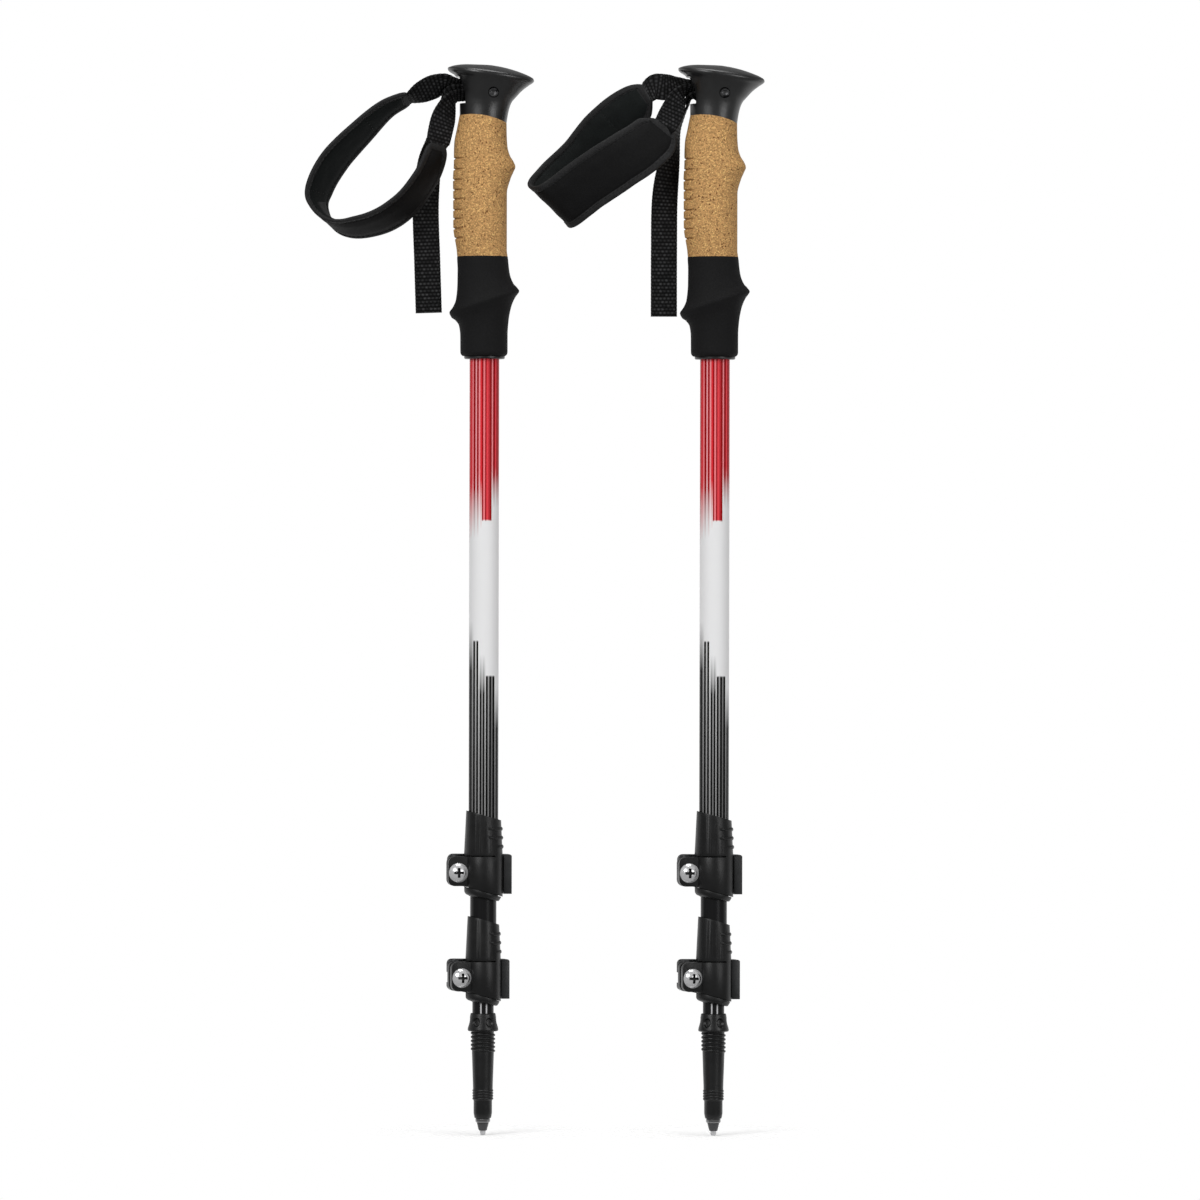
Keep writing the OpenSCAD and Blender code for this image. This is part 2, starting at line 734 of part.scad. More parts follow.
module clamp_lever(tube_od) {
    inner_r = band_r(tube_od) + lever_room;
    shift = lever_flare / 2;
    eye = [screw_x(tube_od), barrel_y];
    bite_angle = lever_root_angle - lever_root_bite;
    bite = [cos(bite_angle), sin(bite_angle)];
    sweep = [for (k = [0 : 4]) lever_end_angle + k * (lever_root_angle - lever_end_angle) / 4];
    color("#303234")
    intersection() {
        lever_side(tube_od);
        difference() {
            translate([0, 0, lever_rise - lever_h]) {
                intersection() {
                    translate([shift, 0, 0]) cylinder(r = inner_r + lever_t + shift, h = lever_h);
                    linear_extrude(height = lever_h) polygon([[0, 0], for (a = sweep) far * [cos(a), sin(a)]]);
                }
                linear_extrude(height = lever_h)
                    polygon([
                        (inner_r + lever_t / 6) * bite, eye + [0, -eye_r],
                        eye + [0, eye_r], (inner_r + lever_t) * bite
                    ]);
                translate(eye + [0, -cam_throw]) cylinder(r = eye_r, h = lever_h);
            }
            rod(inner_r, -far, far);
            translate(eye) rod(barrel_d / 2 + run_gap, -far, far);
            translate([band_r(tube_od), 0, lever_rise - lever_h]) below_slope(lip_slant);
            translate([eye[0] - far, eye[1] - far / 2, screw_z - fork_gap / 2])
                cube([far + screw_d / 2 + soft_gap, far, fork_gap]);
        }
    }
}

module upper_clamp_body() {
    at_upper_clamp() clamp_body(upper_od);
}

module upper_clamp_liner() {
    at_upper_clamp() clamp_liner(upper_od, middle_od);
}

module upper_clamp_lever() {
    at_upper_clamp() clamp_lever(upper_od);
}

module upper_clamp_barrel() {
    at_upper_clamp() clamp_barrel(upper_od);
}

module upper_clamp_screw() {
    at_upper_clamp() clamp_screw(upper_od);
}

module lower_clamp_body() {
    at_lower_clamp() clamp_body(middle_od);
}

module lower_clamp_liner() {
    at_lower_clamp() clamp_liner(middle_od, lower_od);
}

module lower_clamp_lever() {
    at_lower_clamp() clamp_lever(middle_od);
}

module lower_clamp_barrel() {
    at_lower_clamp() clamp_barrel(middle_od);
}

module lower_clamp_screw() {
    at_lower_clamp() clamp_screw(middle_od);
}

// Tip pieces
rib_ring_ribs = 4;
rib_shape = [[0, 0.15], [0, 0.6], [0.4, 0.7], [0.4, 1.05]];
nose_ease = 0.6;
collar_ease = 0.6;
dimple_r = 3;
dimple_lift = 2.2;
spigot_h = 24;
holder_d = 5;
holder_shank_h = 14;
carbide_shank_h = 4;
carbide_flare = 0.7;
thread_steps = 14;
thread_root = 0.4;
thread_foot_w = 1.7;
thread_crest_w = 0.7;

// One ring of the basket thread's ridge, which runs in and out of the core over half a turn at each end
function thread_ring(i, count) =
    let (
        core = thread_d / 2 - thread_depth,
        rise = min(1, min(i, count - i) / (thread_steps / 2)),
        root = core - thread_root,
        crest = root + (thread_depth + thread_root) * max(rise, 0.1),
        a = i * 360 / thread_steps,
        z = thread_z + thread_foot_w / 2 + i * thread_pitch / thread_steps,
        corners = [
            [root, thread_foot_w / 2], [crest, thread_crest_w / 2],
            [crest, -thread_crest_w / 2], [root, -thread_foot_w / 2]
        ]
    )
    [for (c = corners) [c[0] * cos(a), c[0] * sin(a), z + c[1]]];

module basket_thread() {
    count = floor((thread_h - thread_foot_w) / thread_pitch * thread_steps);
    skin([for (i = [0 : count]) thread_ring(i, count)]);
}

module tip_ferrule() {
    core_thread_r = thread_d / 2 - thread_depth;
    rib_step = rib_ring_h / rib_ring_ribs;
    ribs = [
        for (k = [0 : rib_ring_ribs - 1]) for (step = rib_shape)
            [rib_ring_d / 2 - step[0], rib_z + (k + step[1]) * rib_step]
    ];
    outline = [
        [0, taper_z], [nose_d / 2 - nose_ease, taper_z], [nose_d / 2, nose_z], [nose_d / 2, rib_z],
        each ribs,
        [stem_foot_d / 2, stem_z + nose_ease], [core_thread_r, thread_z], [core_thread_r, collar_z],
        [collar_foot_d / 2 - collar_ease, collar_z], [collar_foot_d / 2, collar_z + collar_ease],
        [collar_top_d / 2, tip_top - collar_ease], [collar_top_d / 2 - collar_ease, tip_top], [0, tip_top]
    ];
    dimple_z = collar_z + collar_h / 2;
    dimple_y = (collar_top_d + collar_foot_d) / 4 + dimple_lift;
    color("#1d1e1f")
    difference() {
        union() {
            difference() {
                rotate_extrude() polygon(outline);
                rod(lower_od / 2 + bond_gap, tube_floor - bond_gap, tip_top + bite);
                for (k = [0 : dimple_count - 1]) rotate([0, 0, (k + 0.5) * 360 / dimple_count])
                    translate([0, -dimple_y, dimple_z]) sphere(r = dimple_r);
            }
            rod(lower_od / 2 - tube_wall - bond_gap, tube_floor - bite, tube_floor + spigot_h);
            basket_thread();
        }
        rod(holder_d / 2 + bond_gap, taper_z - bite, ring_z + holder_shank_h + face_gap);
    }
}

module tip_ring() {
    color("#cfd2d4") pipe(tip_ring_d / 2, holder_d / 2 + bond_gap, ring_z, taper_z);
}

module tip_holder() {
    color("#4a4b4d")
    difference() {
        union() {
            translate([0, 0, cone_z]) cylinder(d1 = cone_foot_d, d2 = cone_top_d, h = cone_h);
            rod(holder_d / 2, ring_z - bite, ring_z + holder_shank_h);
        }
        rod(carbide_d / 2 + bond_gap, cone_z - bite, cone_z + carbide_shank_h + face_gap);
    }
}

module carbide_tip() {
    color("#b4b7ba") {
        cylinder(d1 = carbide_d, d2 = carbide_d + carbide_flare, h = carbide_h);
        rod(carbide_d / 2, bite, cone_z + carbide_shank_h);
    }
}

// Strap pieces
module left_strap_pad() {
    color("#1a1b1b") at_strap() band(left_pad_route, pad_w, pad_t);
}

module right_strap_pad() {
    color("#1a1b1b") at_strap() band(right_pad_route, pad_w, pad_t);
}

module left_strap_webbing() {
    color("#202121") at_strap() {
        band(left_web_upper, strap_w, strap_t);
        band(left_web_lower, strap_w, strap_t);
    }
}

module right_strap_webbing() {
    color("#202121") at_strap() {
        band(right_web_upper, strap_w, strap_t);
        band(right_web_lower, strap_w, strap_t);
    }
}

module left_strap_tail() {
    color("#202121") at_strap() band(left_tail_route, strap_w, strap_t);
}

module right_strap_tail() {
    color("#202121") at_strap() band(right_tail_route, strap_w, strap_t);
}

left() grip_head();  // left_grip_head
left() strap_screw();  // left_strap_screw
left() strap_wedge();  // left_strap_wedge
left() cork_grip();  // left_cork_grip
left() foam_grip();  // left_foam_grip
left() grip_end_ring();  // left_grip_end_ring
left() upper_shaft();  // left_upper_shaft
left() upper_clamp_body();  // left_upper_clamp_body
left() upper_clamp_liner();  // left_upper_clamp_liner
left() upper_clamp_lever();  // left_upper_clamp_lever
left() upper_clamp_barrel();  // left_upper_clamp_barrel
left() upper_clamp_screw();  // left_upper_clamp_screw
left() middle_shaft();  // left_middle_shaft
left() middle_guide();  // left_middle_guide
left() lower_clamp_body();  // left_lower_clamp_body
left() lower_clamp_liner();  // left_lower_clamp_liner
left() lower_clamp_lever();  // left_lower_clamp_lever
left() lower_clamp_barrel();  // left_lower_clamp_barrel
left() lower_clamp_screw();  // left_lower_clamp_screw
left() lower_shaft();  // left_lower_shaft
left() lower_guide();  // left_lower_guide
left() tip_ferrule();  // left_tip_ferrule
left() tip_ring();  // left_tip_ring
left() tip_holder();  // left_tip_holder
left() carbide_tip();  // left_carbide_tip
left() left_strap_pad();
left() left_strap_webbing();
left() left_strap_tail();
right() grip_head();  // right_grip_head
right() strap_screw();  // right_strap_screw
right() strap_wedge();  // right_strap_wedge
right() cork_grip();  // right_cork_grip
right() foam_grip();  // right_foam_grip
right() grip_end_ring();  // right_grip_end_ring
right() upper_shaft();  // right_upper_shaft
right() upper_clamp_body();  // right_upper_clamp_body
right() upper_clamp_liner();  // right_upper_clamp_liner
right() upper_clamp_lever();  // right_upper_clamp_lever
right() upper_clamp_barrel();  // right_upper_clamp_barrel
right() upper_clamp_screw();  // right_upper_clamp_screw
right() middle_shaft();  // right_middle_shaft
right() middle_guide();  // right_middle_guide
right() lower_clamp_body();  // right_lower_clamp_body
right() lower_clamp_liner();  // right_lower_clamp_liner
right() lower_clamp_lever();  // right_lower_clamp_lever
right() lower_clamp_barrel();  // right_lower_clamp_barrel
right() lower_clamp_screw();  // right_lower_clamp_screw
right() lower_shaft();  // right_lower_shaft
right() lower_guide();  // right_lower_guide
right() tip_ferrule();  // right_tip_ferrule
right() tip_ring();  // right_tip_ring
right() tip_holder();  // right_tip_holder
right() carbide_tip();  // right_carbide_tip
right() right_strap_pad();
right() right_strap_webbing();
right() right_strap_tail();
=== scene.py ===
"""Looks for a pair of collapsed telescopic trekking poles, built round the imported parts.

Everything is in metres in the parts' own frame: +Z up the poles, +X from the left pole to the right one,
and -Y towards the viewer. Tables of shapes are in millimetres, as in the parts' source.
"""

import math
from collections import namedtuple

import bmesh
import bpy
from bpy.props import FloatProperty, FloatVectorProperty, PointerProperty
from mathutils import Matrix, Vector, noise


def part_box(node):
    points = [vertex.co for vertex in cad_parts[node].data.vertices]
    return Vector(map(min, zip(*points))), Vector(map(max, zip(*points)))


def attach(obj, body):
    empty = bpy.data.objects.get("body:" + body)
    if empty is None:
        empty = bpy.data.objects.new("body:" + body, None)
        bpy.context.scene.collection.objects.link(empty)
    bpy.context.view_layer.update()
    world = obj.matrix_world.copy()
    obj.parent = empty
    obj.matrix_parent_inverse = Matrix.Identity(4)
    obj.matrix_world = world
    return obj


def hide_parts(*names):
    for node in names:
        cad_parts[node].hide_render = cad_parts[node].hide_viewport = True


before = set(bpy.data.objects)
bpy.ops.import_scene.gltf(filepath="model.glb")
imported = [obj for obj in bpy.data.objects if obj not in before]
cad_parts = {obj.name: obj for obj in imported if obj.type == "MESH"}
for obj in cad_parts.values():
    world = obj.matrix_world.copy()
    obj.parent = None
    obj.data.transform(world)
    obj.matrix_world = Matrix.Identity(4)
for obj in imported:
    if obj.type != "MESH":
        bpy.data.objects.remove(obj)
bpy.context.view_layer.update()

bl_info = {
    "name": "Trekking poles",
    "version": (1, 0, 0),
    "blender": (4, 5, 0),
    "location": "View3D > Sidebar > Poles",
    "description": "Builds the looks of a pair of telescopic trekking poles",
    "category": "Object",
}

MM = 0.001
SIDES = ("left", "right")


def axis_x(side):
    """Where a pole's axis stands, read from its upper tube."""
    low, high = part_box(side + "_upper_shaft")
    return (low.x + high.x) / 2


# Grips: foot, height, how many rings and sides each has, and its outline from the foot up. A row of an
# outline is a share of the height, the reach to the front (+X), the back and the sides beyond the core, and
# how steeply that ring drops towards the front.
Grip = namedtuple("Grip", "foot height rings sides rows")
CORE_R = 11.05
JOINT_ROW = (2.1, 4.3, 2.6, 0.18)
HEAD_ROWS = [
    (0, *JOINT_ROW),
    (0.18, 3, 4.3, 2.8, 0.17),
    (0.31, 4.1, 4.1, 3.2, 0.16),
    (0.4, 5.4, 4, 3.8, 0.155),
    (0.5, 8, 4.4, 4.8, 0.15),
    (0.61, 11.2, 5.2, 6, 0.14),
    (0.73, 15.7, 7.4, 7.6, 0.135),
    (0.785, 18.2, 10.6, 8.8, 0.128),
    (0.815, 18.75, 11.5, 9.1, 0.128),
    (0.85, 18.45, 11.6, 8.95, 0.128),
    (0.88, 16.6, 10.2, 7.8, 0.125),
    (0.92, 12, 7.2, 4.9, 0.118),
    (0.97, 2, 1, -1.5, 0.09),
    (0.99, -6, -6, -7, 0.05),
]
CORK_FOOT_ROW = (2.9, 5.6, 3.4, 0)
CORK_ROWS = [
    (0, *CORK_FOOT_ROW),
    (0.05, 2.4, 6, 3.8, 0),
    (0.22, 2.4, 8.1, 4.6, 0),
    (0.46, 2.4, 8.2, 4.8, 0),
    (0.57, 4.6, 8.3, 4.6, 0),
    (0.62, 6.4, 8.1, 4.5, 0),
    (0.655, 7.5, 7.9, 4.4, 0),
    (0.69, 6.5, 7.8, 4.3, 0),
    (0.74, 4.2, 7.8, 4.1, 0.02),
    (0.81, 2.7, 7.6, 3.7, 0.06),
    (0.91, 2.2, 5.9, 3, 0.13),
    (1, *JOINT_ROW),
]
FOAM_ROWS = [
    (0, 1.6, 2.2, 1.8, 0),
    (0.015, 2.6, 3.2, 2.8, 0),
    (0.04, 3, 3.6, 3.2, 0),
    (0.21, 3, 3.7, 3.2, -0.03),
    (0.33, 3.6, 4.4, 3.6, -0.12),
    (0.43, 5.2, 6.6, 4.6, -0.25),
    (0.495, 7.6, 9.2, 6, -0.31),
    (0.545, 10, 10.3, 7, -0.31),
    (0.59, 8.6, 8.2, 6.2, -0.31),
    (0.645, 6.6, 6.4, 5.2, -0.28),
    (0.77, 4.4, 5.5, 4, -0.18),
    (0.89, 3.6, 5.4, 3.6, -0.05),
    (0.985, 3.1, 5.7, 3.5, 0),
    (1, *CORK_FOOT_ROW),
]
HEAD = Grip(616.6, 33.4, 84, 128, HEAD_ROWS)
CORK = Grip(533.4, 83.2, 300, 128, CORK_ROWS)
FOAM = Grip(473, 60.4, 120, 112, FOAM_ROWS)
# Upward bow of the joint between head and cork: steepness and half width
BOW, BOW_HALF = 0.0099, 14
# Finger grooves across the back of the cork: heights, and cosines of the turn where they start and are full
GROOVES = (592.7, 586.2, 579.8, 573.7, 568.0, 561.6, 556.2, 550.2, 544.4)
GROOVE_START, GROOVE_FULL = -0.7, -0.88
# Ring under the foam: radius of its bore, and the edges broken at its foot and its top
END_RING_BORE, END_RING_FOOT, END_RING_TOP = 9.02, 0.5, 0.3

# Heads: room round the strap in its slot, radius of the strap screw's recess and of its socket, whose faces
# are paler as a painted highlight, the Y where the recess ends, and a reach that is clear of the head
SLOT_ROOM = 0.2
SCREW_RECESS_R, SOCKET_R, RECESS_END = 3.25, 1.8, -8
CLEAR_OF_HEAD = 40

# Tubes: wall, width of the broken edges and steps along a tube. Then the white lines on the lower one, each
# as its place and half its width in shares of a turn.
TUBE_WALL, TUBE_EDGE, TUBE_STEPS = 0.7, 0.15, 24
WHITE_LINES = ((0.9706, 0.011), (0.055, 0.011))

# Clamps: turn of each one about its pole in degrees, depth and reach of the cross recess in its screw,
# radius and height of the band, slopes of the band and of the lip under it, the lip's drop, rounding,
# inset, gap and seam, cuts along its rounding, and the sleeve's taper. Then the ribs that run out over the
# front: heights, half height, reach, depth of their root and of their ends, the turn in degrees where they
# start and that they run through, the share of it in which they come up, their rise at the start and drop.
CLAMP_TURN = {"upper": 8, "lower": 16}
# The recess's depth and reach also pick the faces that are painted dark as shade
RECESS_H, RECESS_REACH = 1.9, 3.2
BAND_R = {"upper": 11.8, "lower": 10.95}
BAND_H, BAND_SLOPE, LIP_SLOPE = 21.5, math.tan(math.radians(15.7)), math.tan(math.radians(9.6))
LIP_DROP, LIP_ROUND, LIP_INSET, LIP_GAP, LIP_SEAM, LIP_CUTS = 4.4, 3.0, 0.2, 0.8, 0.35, 6
SLEEVE_TAPER = 1.2 / 24.6
RIB_HEIGHTS, RIB_HALF, RIB_PROUD, RIB_ROOT, RIB_SINK = (11.0, 16.4), 0.9, 0.75, 0.4, 0.05
RIB_START, RIB_RUN, RIB_UP_AT, RIB_RISE, RIB_DROP = -84, 46, 0.4, 0.4, 0.75

# Tips, from the point up, as (radius, height): carbide point, steel holder and bright ring, then the nose,
# the ribbed ring, the stem and the collar of the ferrule. A rib is a row of (inset, height) points.
POINT_OUTLINE = [(1.15, 0), (1.42, 0.12), (1.62, 0.9), (1.82, 2.65), (1.5, 2.8), (1.5, 6.7)]
HOLDER_OUTLINE = [
    (1.55, 2.8), (2.3, 2.8), (2.55, 3.1), (3.6, 7.3), (3.35, 7.6), (2.5, 7.6), (2.5, 21.5), (1.55, 21.5),
]
RING_OUTLINE = [(2.55, 7.65), (4, 7.65), (4.5, 8.3), (4.5, 9.5), (4.2, 10.15), (2.55, 10.15)]
NOSE_OUTLINE = [(2.55, 10.25), (4.7, 10.25), (5.1, 10.7), (5.5, 12.9), (5.6, 13.5), (5.6, 20.9), (5.75, 21.3)]
TIP_RIB = ((0.35, 0.1), (0.08, 0.3), (0, 0.55), (0, 0.95), (0.08, 1.2), (0.35, 1.4))
TIP_RIBS, TIP_RIB_R, TIP_RIB_FOOT, TIP_RIB_PITCH = 4, 6.35, 21.4, 6.5 / 4
STEM_OUTLINE = [(6, 28.3), (6.02, 29.2)]
STEM_FOOT, STEM_TOP, STEM_STEPS = (6, 29.2), (6.7, 50.2), 8
COLLAR_START = [(6.7, 62.7), (6.75, 62.9), (8.4, 63.1), (8.95, 63.25), (9.22, 63.6), (9.33, 64.1)]
COLLAR_LOW, COLLAR_HIGH, COLLAR_STEPS = (9.3, 64.3), (7.7, 73.2), 36
COLLAR_END = [(7.6, 73.7), (7.3, 73.98), (6.55, 74), (6.55, 63.1), (5.7, 63.1), (2.55, 62.6)]
# Dimples round the outside of the collar: its least radius and height, their count, height, depth, squeeze
# and the distances over which they end. Then the basket thread: radius, half thickness, foot and height.
COLLAR_R, COLLAR_FOOT = 7.2, 63.5
DIMPLES, DIMPLE_Z, DIMPLE_DEPTH, DIMPLE_SQUEEZE, DIMPLE_END = 6, 68.55, 1.5, 0.86, (1.7, 2.6)
THREAD_R, THREAD_RIDGE, THREAD_FOOT, THREAD_H = 6.72, 0.78, 51.1, 11.3

# Straps: mouth of the slot from the foot of the pole's axis, and points on the curve for each row of the
# route of a pad and of the webbing
MOUTH = (-14.05, 0, 634.4)
PAD_ROUTE_STEPS, ROUTE_STEPS = 24, 16
# Each row of a route is a point from the mouth, the way the width lies there, and its share of the full width
PAD_ROUTE = {
    "left": [
        (-32, -2, -5, -0.3, -0.9, 0.3, 0.55),
        (-46, -3, -12, -0.37, -0.89, 0.28, 0.68),
        (-61, -4, -26, -0.37, -0.89, 0.28, 0.88),
        (-76, -5, -42, -0.37, -0.89, 0.28, 1),
        (-85, -6, -57, -0.37, -0.89, 0.28, 1),
        (-87, -6, -69, -0.37, -0.89, 0.28, 1),
        (-80, -7, -80, -0.37, -0.89, 0.28, 1),
        (-67, -7, -84, -0.37, -0.89, 0.28, 1),
        (-49, -8, -80, -0.37, -0.89, 0.28, 1),
        (-34, -8, -70, -0.37, -0.89, 0.28, 0.96),
        (-22.5, -9, -55, -0.42, -0.87, 0.24, 0.85),
        (-17, -9.4, -43.5, -0.62, -0.76, 0.18, 0.64),
        (-14.4, -9, -33, -0.85, -0.5, 0.1, 0.4),
    ],
    "right": [
        (-27, 12, 0, 0.4, -0.5, -0.75, 0.55),
        (-32, 15, -5, 0.6, -0.3, -0.75, 0.75),
        (-41, 19, -14, 0.66, -0.1, -0.75, 0.94),
        (-53, 22, -26, 0.66, 0, -0.75, 1),
        (-66, 22, -42, 0.66, 0, -0.75, 1),
        (-80, 17, -56, 0.7, 0, -0.7, 1),
        (-87, 2, -66, 0.74, 0, -0.67, 1),
        (-81, -13, -70, 0.7, 0, -0.7, 1),
        (-64, -20, -58, 0.66, 0, -0.75, 1),
        (-46, -22, -46, 0.66, 0, -0.75, 1),
        (-31, -19, -36, 0.66, -0.1, -0.75, 0.98),
        (-22, -14, -28, 0.66, -0.1, -0.75, 0.9),
        (-17, -10, -22, 0.68, -0.1, -0.73, 0.68),
    ],
}
LEAF_ROUTES = {
    "left": (
        [
            (6, 0, 3.1, 0, -0.8, 0.6, 0.66),
            (-1, 0, 3.1, 0, -0.8, 0.6, 0.68),
            (-6, -0.7, 3.6, 0, -0.78, 0.63, 0.82),
            (-11, -1.6, 4.2, 0, -0.7, 0.72, 0.95),
            (-17, -2.3, 2, 0, -0.45, 0.9, 1),
            (-24, -2.3, -1.2, -0.1, -0.6, 0.8, 1),
            (-31, -2, -4.6, -0.3, -0.9, 0.3, 1),
        ],
        [
            (6, 0, -3, 0, -0.8, 0.6, 0.66),
            (-1, 0, -3, 0, -0.8, 0.6, 0.7),
            (-4, -0.5, -3.8, -0.2, -0.85, 0.4, 0.8),
            (-6.4, -1.8, -6.5, -0.5, -0.85, 0.1, 0.92),
            (-9, -4.2, -12, -0.72, -0.7, 0, 1),
            (-11.4, -6.6, -19, -0.9, -0.42, 0, 1),
            (-13, -8, -26, -0.92, -0.4, 0, 1),
            (-14.2, -9, -32, -0.85, -0.5, 0.1, 1),
        ],
    ),
    "right": (
        [
            (6, 0, 3.1, 0, -0.8, 0.6, 0.66),
            (-1, 0.3, 3.1, 0, -0.8, 0.6, 0.68),
            (-6, 2.2, 3, 0, -0.65, 0.76, 0.8),
            (-11, 4.8, 2.5, 0, -0.35, 0.94, 0.92),
            (-17, 7.6, 2.6, 0, 0, 1, 1),
            (-22.5, 9.5, 3, -0.25, 0.25, 0.9, 1),
            (-26.4, 11.6, 0.6, -0.4, 0.5, 0.75, 1),
        ],
        [
            (6, 0, 0, 0, -0.8, 0.6, 0.66),
            (-1, -0.8, 0.2, 0, -0.8, 0.6, 0.66),
            (-5.4, -3.8, -0.9, -0.4, -0.8, 0.45, 0.7),
            (-9.6, -7, -6.6, -0.75, -0.22, 0.6, 0.8),
            (-12.9, -8, -14.6, -0.78, 0, 0.62, 0.94),
            (-16.3, -9.5, -21.1, -0.68, 0.1, 0.73, 0.9),
        ],
    ),
}
TAIL_ROUTE = {
    "left": [
        (6, 0, 0, 0, -0.8, 0.6, 0.66),
        (-1, 0, 0, 0, -0.8, 0.6, 0.68),
        (-6, 1, -0.7, 0, -0.85, 0.5, 0.8),
        (-10.4, 2.6, -4, 0, -0.95, 0.2, 0.9),
        (-13, 4.2, -11, -0.1, -1, 0, 0.95),
        (-15, 5.8, -20, -0.3, -0.95, 0, 1),
        (-17.2, 7.4, -31, -0.6, -0.8, 0, 1),
        (-20, 8.4, -45, -0.88, -0.45, 0, 1),
        (-22, 9, -70, -1, -0.1, 0, 1),
        (-21, 9, -104, -1, 0, 0, 1),
        (-20, 9, -135, -1, 0, 0, 1),
    ],
    "right": [
        (6, 0, -3.2, 0, -0.8, 0.6, 0.66),
        (-0.6, 2, -4.2, 0, -0.9, 0.4, 0.62),
        (-3.1, 6, -9.4, 0, -1, 0.1, 0.6),
        (-5.8, 7.6, -15.5, -0.1, -1, 0, 0.76),
        (-10, 7, -26, -0.35, -0.93, 0, 0.95),
        (-14, 6.4, -44, -0.8, -0.6, 0, 1),
        (-16.6, 6.4, -66, -1, -0.2, 0, 1),
        (-17, 7, -96, -1, 0, 0, 1),
        (-17, 7, -137, -1, 0, 0, 1),
    ],
}
# From here on in metres. Webbing: how far it draws in between two ribs, at its edges and on its faces
WEB_NOTCH, WEB_DIP = 0.00012, 0.0002
# Where a tail is folded double: start and end of the step from the fold, and how much thicker it gets
FOLD_START, FOLD_STOP, FOLD_UP = -0.0012, 0.0006, 0.85
# Round edges of the webbing: share of the width where they start, and share of the thickness that is left
WEB_ROUND, WEB_EDGE = 0.9, 0.3
# Ends of the webbing inside a pad: share of the way from its nearest row to the next, and of the width
TUCKED = ((0, 0.9), (0.45, 0.7))
# Pads: step along a pad, length of its rounded ends, share of the width that they keep, how far its edges
# wave and how tightly, and which face is on the hand's side
PAD_STEP = 0.0008
END_ROUND = {"left": 0.006, "right": 0.011}
END_SHARE, EDGE_WAVE, EDGE_WAVES = 0.58, 0.012, 90
INNER_FACE = {"left": -1, "right": 1}
# Half height and roll of a pad's bound edge, run of its crown, depth and half width of the seam groove
EDGE_UP, EDGE_ROLL, CROWN_RUN, GROOVE_DEEP, GROOVE_HALF = 0.00125, 0.0012, 0.0062, 0.00045, 0.0006
# Puckers along the seam: height and half width. Creases: height in the cloth and the lining, how tightly they
# lie, and the distances from the edge over which they come up
PUCKER_UP, PUCKER_HALF = 0.00014, 0.0014
CLOTH_CREASE, LINING_CREASE, CREASES, CREASE_RUN = 0.00016, 0.00032, 150, (0.001, 0.006)
# Lengths along a pad where a seam crosses its lining, with the depth and half width of its groove, and the
# distances from the edge over which it deepens
CROSS_SEAMS, CROSS_DEEP, CROSS_HALF, CROSS_RUN = (0.03, 0.082), 0.0004, 0.0007, (0.001, 0.003)
# Stitches: how far they lie inside the binding's edge, and over the cloth and the lining
STITCH_INSET, STITCH_UP, CROSS_STITCH_UP = 0.0009, 0.00008, 0.0001
# Patch on the lining: where it starts and stops, half its width, its height at the edges and elsewhere
PATCH_START, PATCH_STOP, PATCH_HALF, PATCH_EDGE, PATCH_UP = 0.088, 0.126, 0.0075, 0.0001, 0.0004
# Tails: length that is folded double at the end, and the two seams across it, from the end
TAIL_FOLD, TAIL_SEAMS, TAIL_SEAM_HALF = 0.009, (0.0078, 0.0052), 0.0062

# Stage: the floor's radius and its depth under the tips, how far behind each tip its solid patch has its
# middle, and the distances from there at which it is all clear and all solid
FLOOR_R, FLOOR_Z = 0.34, -0.0002
FLOOR_BACK, FLOOR_CLEAR, FLOOR_SOLID = 0.035, 0.078, 0.03
# Lamps: name, place, aim, width and power
LAMPS = (
    ("Key", (-1.3, -2.2, 1.5), (0.05, 0, 0.36), 1.5, 34),
    ("Fill", (1.7, -1.9, 0.7), (0.07, 0, 0.3), 1.3, 15),
    ("Top", (0.1, -0.1, 2.2), (0.07, 0, 0.3), 1.2, 18),
)
# Camera: place, lens in millimetres and roll in degrees
CAMERA_AT, CAMERA_LENS, CAMERA_ROLL = (0.0705, -5, 0.325), 247, -0.126


def length_prop(name, description, default, top):
    limits = {"min": 0, "max": top * MM, "unit": "LENGTH", "precision": 5}
    return FloatProperty(name=name, description=description, default=default * MM, **limits)


def colour_prop(name, description, default):
    limits = {"min": 0, "max": 1, "subtype": "COLOR"}
    return FloatVectorProperty(name=name, description=description, default=default, **limits)


class PoleSizes(bpy.types.PropertyGroup):
    """Sizes of the details that the looks add to the parts."""

    groove_depth: length_prop("Groove depth", "Depth of a finger groove in the cork", 1.1, 3)
    groove_width: length_prop("Groove width", "Half width of a finger groove", 0.42, 2)
    edge_round: length_prop("Edge round", "Rounding of the clamps' moulded edges", 0.35, 1)
    strap_width: length_prop("Strap width", "Width of the webbing", 16, 20)
    strap_thickness: length_prop("Strap thickness", "Thickness of the webbing", 1.4, 2)
    rib_pitch: length_prop("Rib pitch", "Distance between the webbing's cross ribs", 2.2, 4)
    pad_width: length_prop("Pad width", "Full width of the hand pad", 33, 40)
    pad_thickness: length_prop("Pad thickness", "Thickness of the hand pad at its middle", 4, 6)
    binding_width: length_prop("Binding width", "Width of the binding along the pad's edges", 4.2, 8)
    stitch_length: length_prop("Stitch length", "Length of one stitch", 2.1, 5)
    stitch_pitch: length_prop("Stitch pitch", "Distance from one stitch to the next", 2.9, 6)
    stitch_thickness: length_prop("Stitch thickness", "Thickness of the sewing thread", 0.45, 1)
    thread_turns: FloatProperty(
        name="Thread turns", description="Turns of the basket thread", default=4.7, min=1, max=8
    )


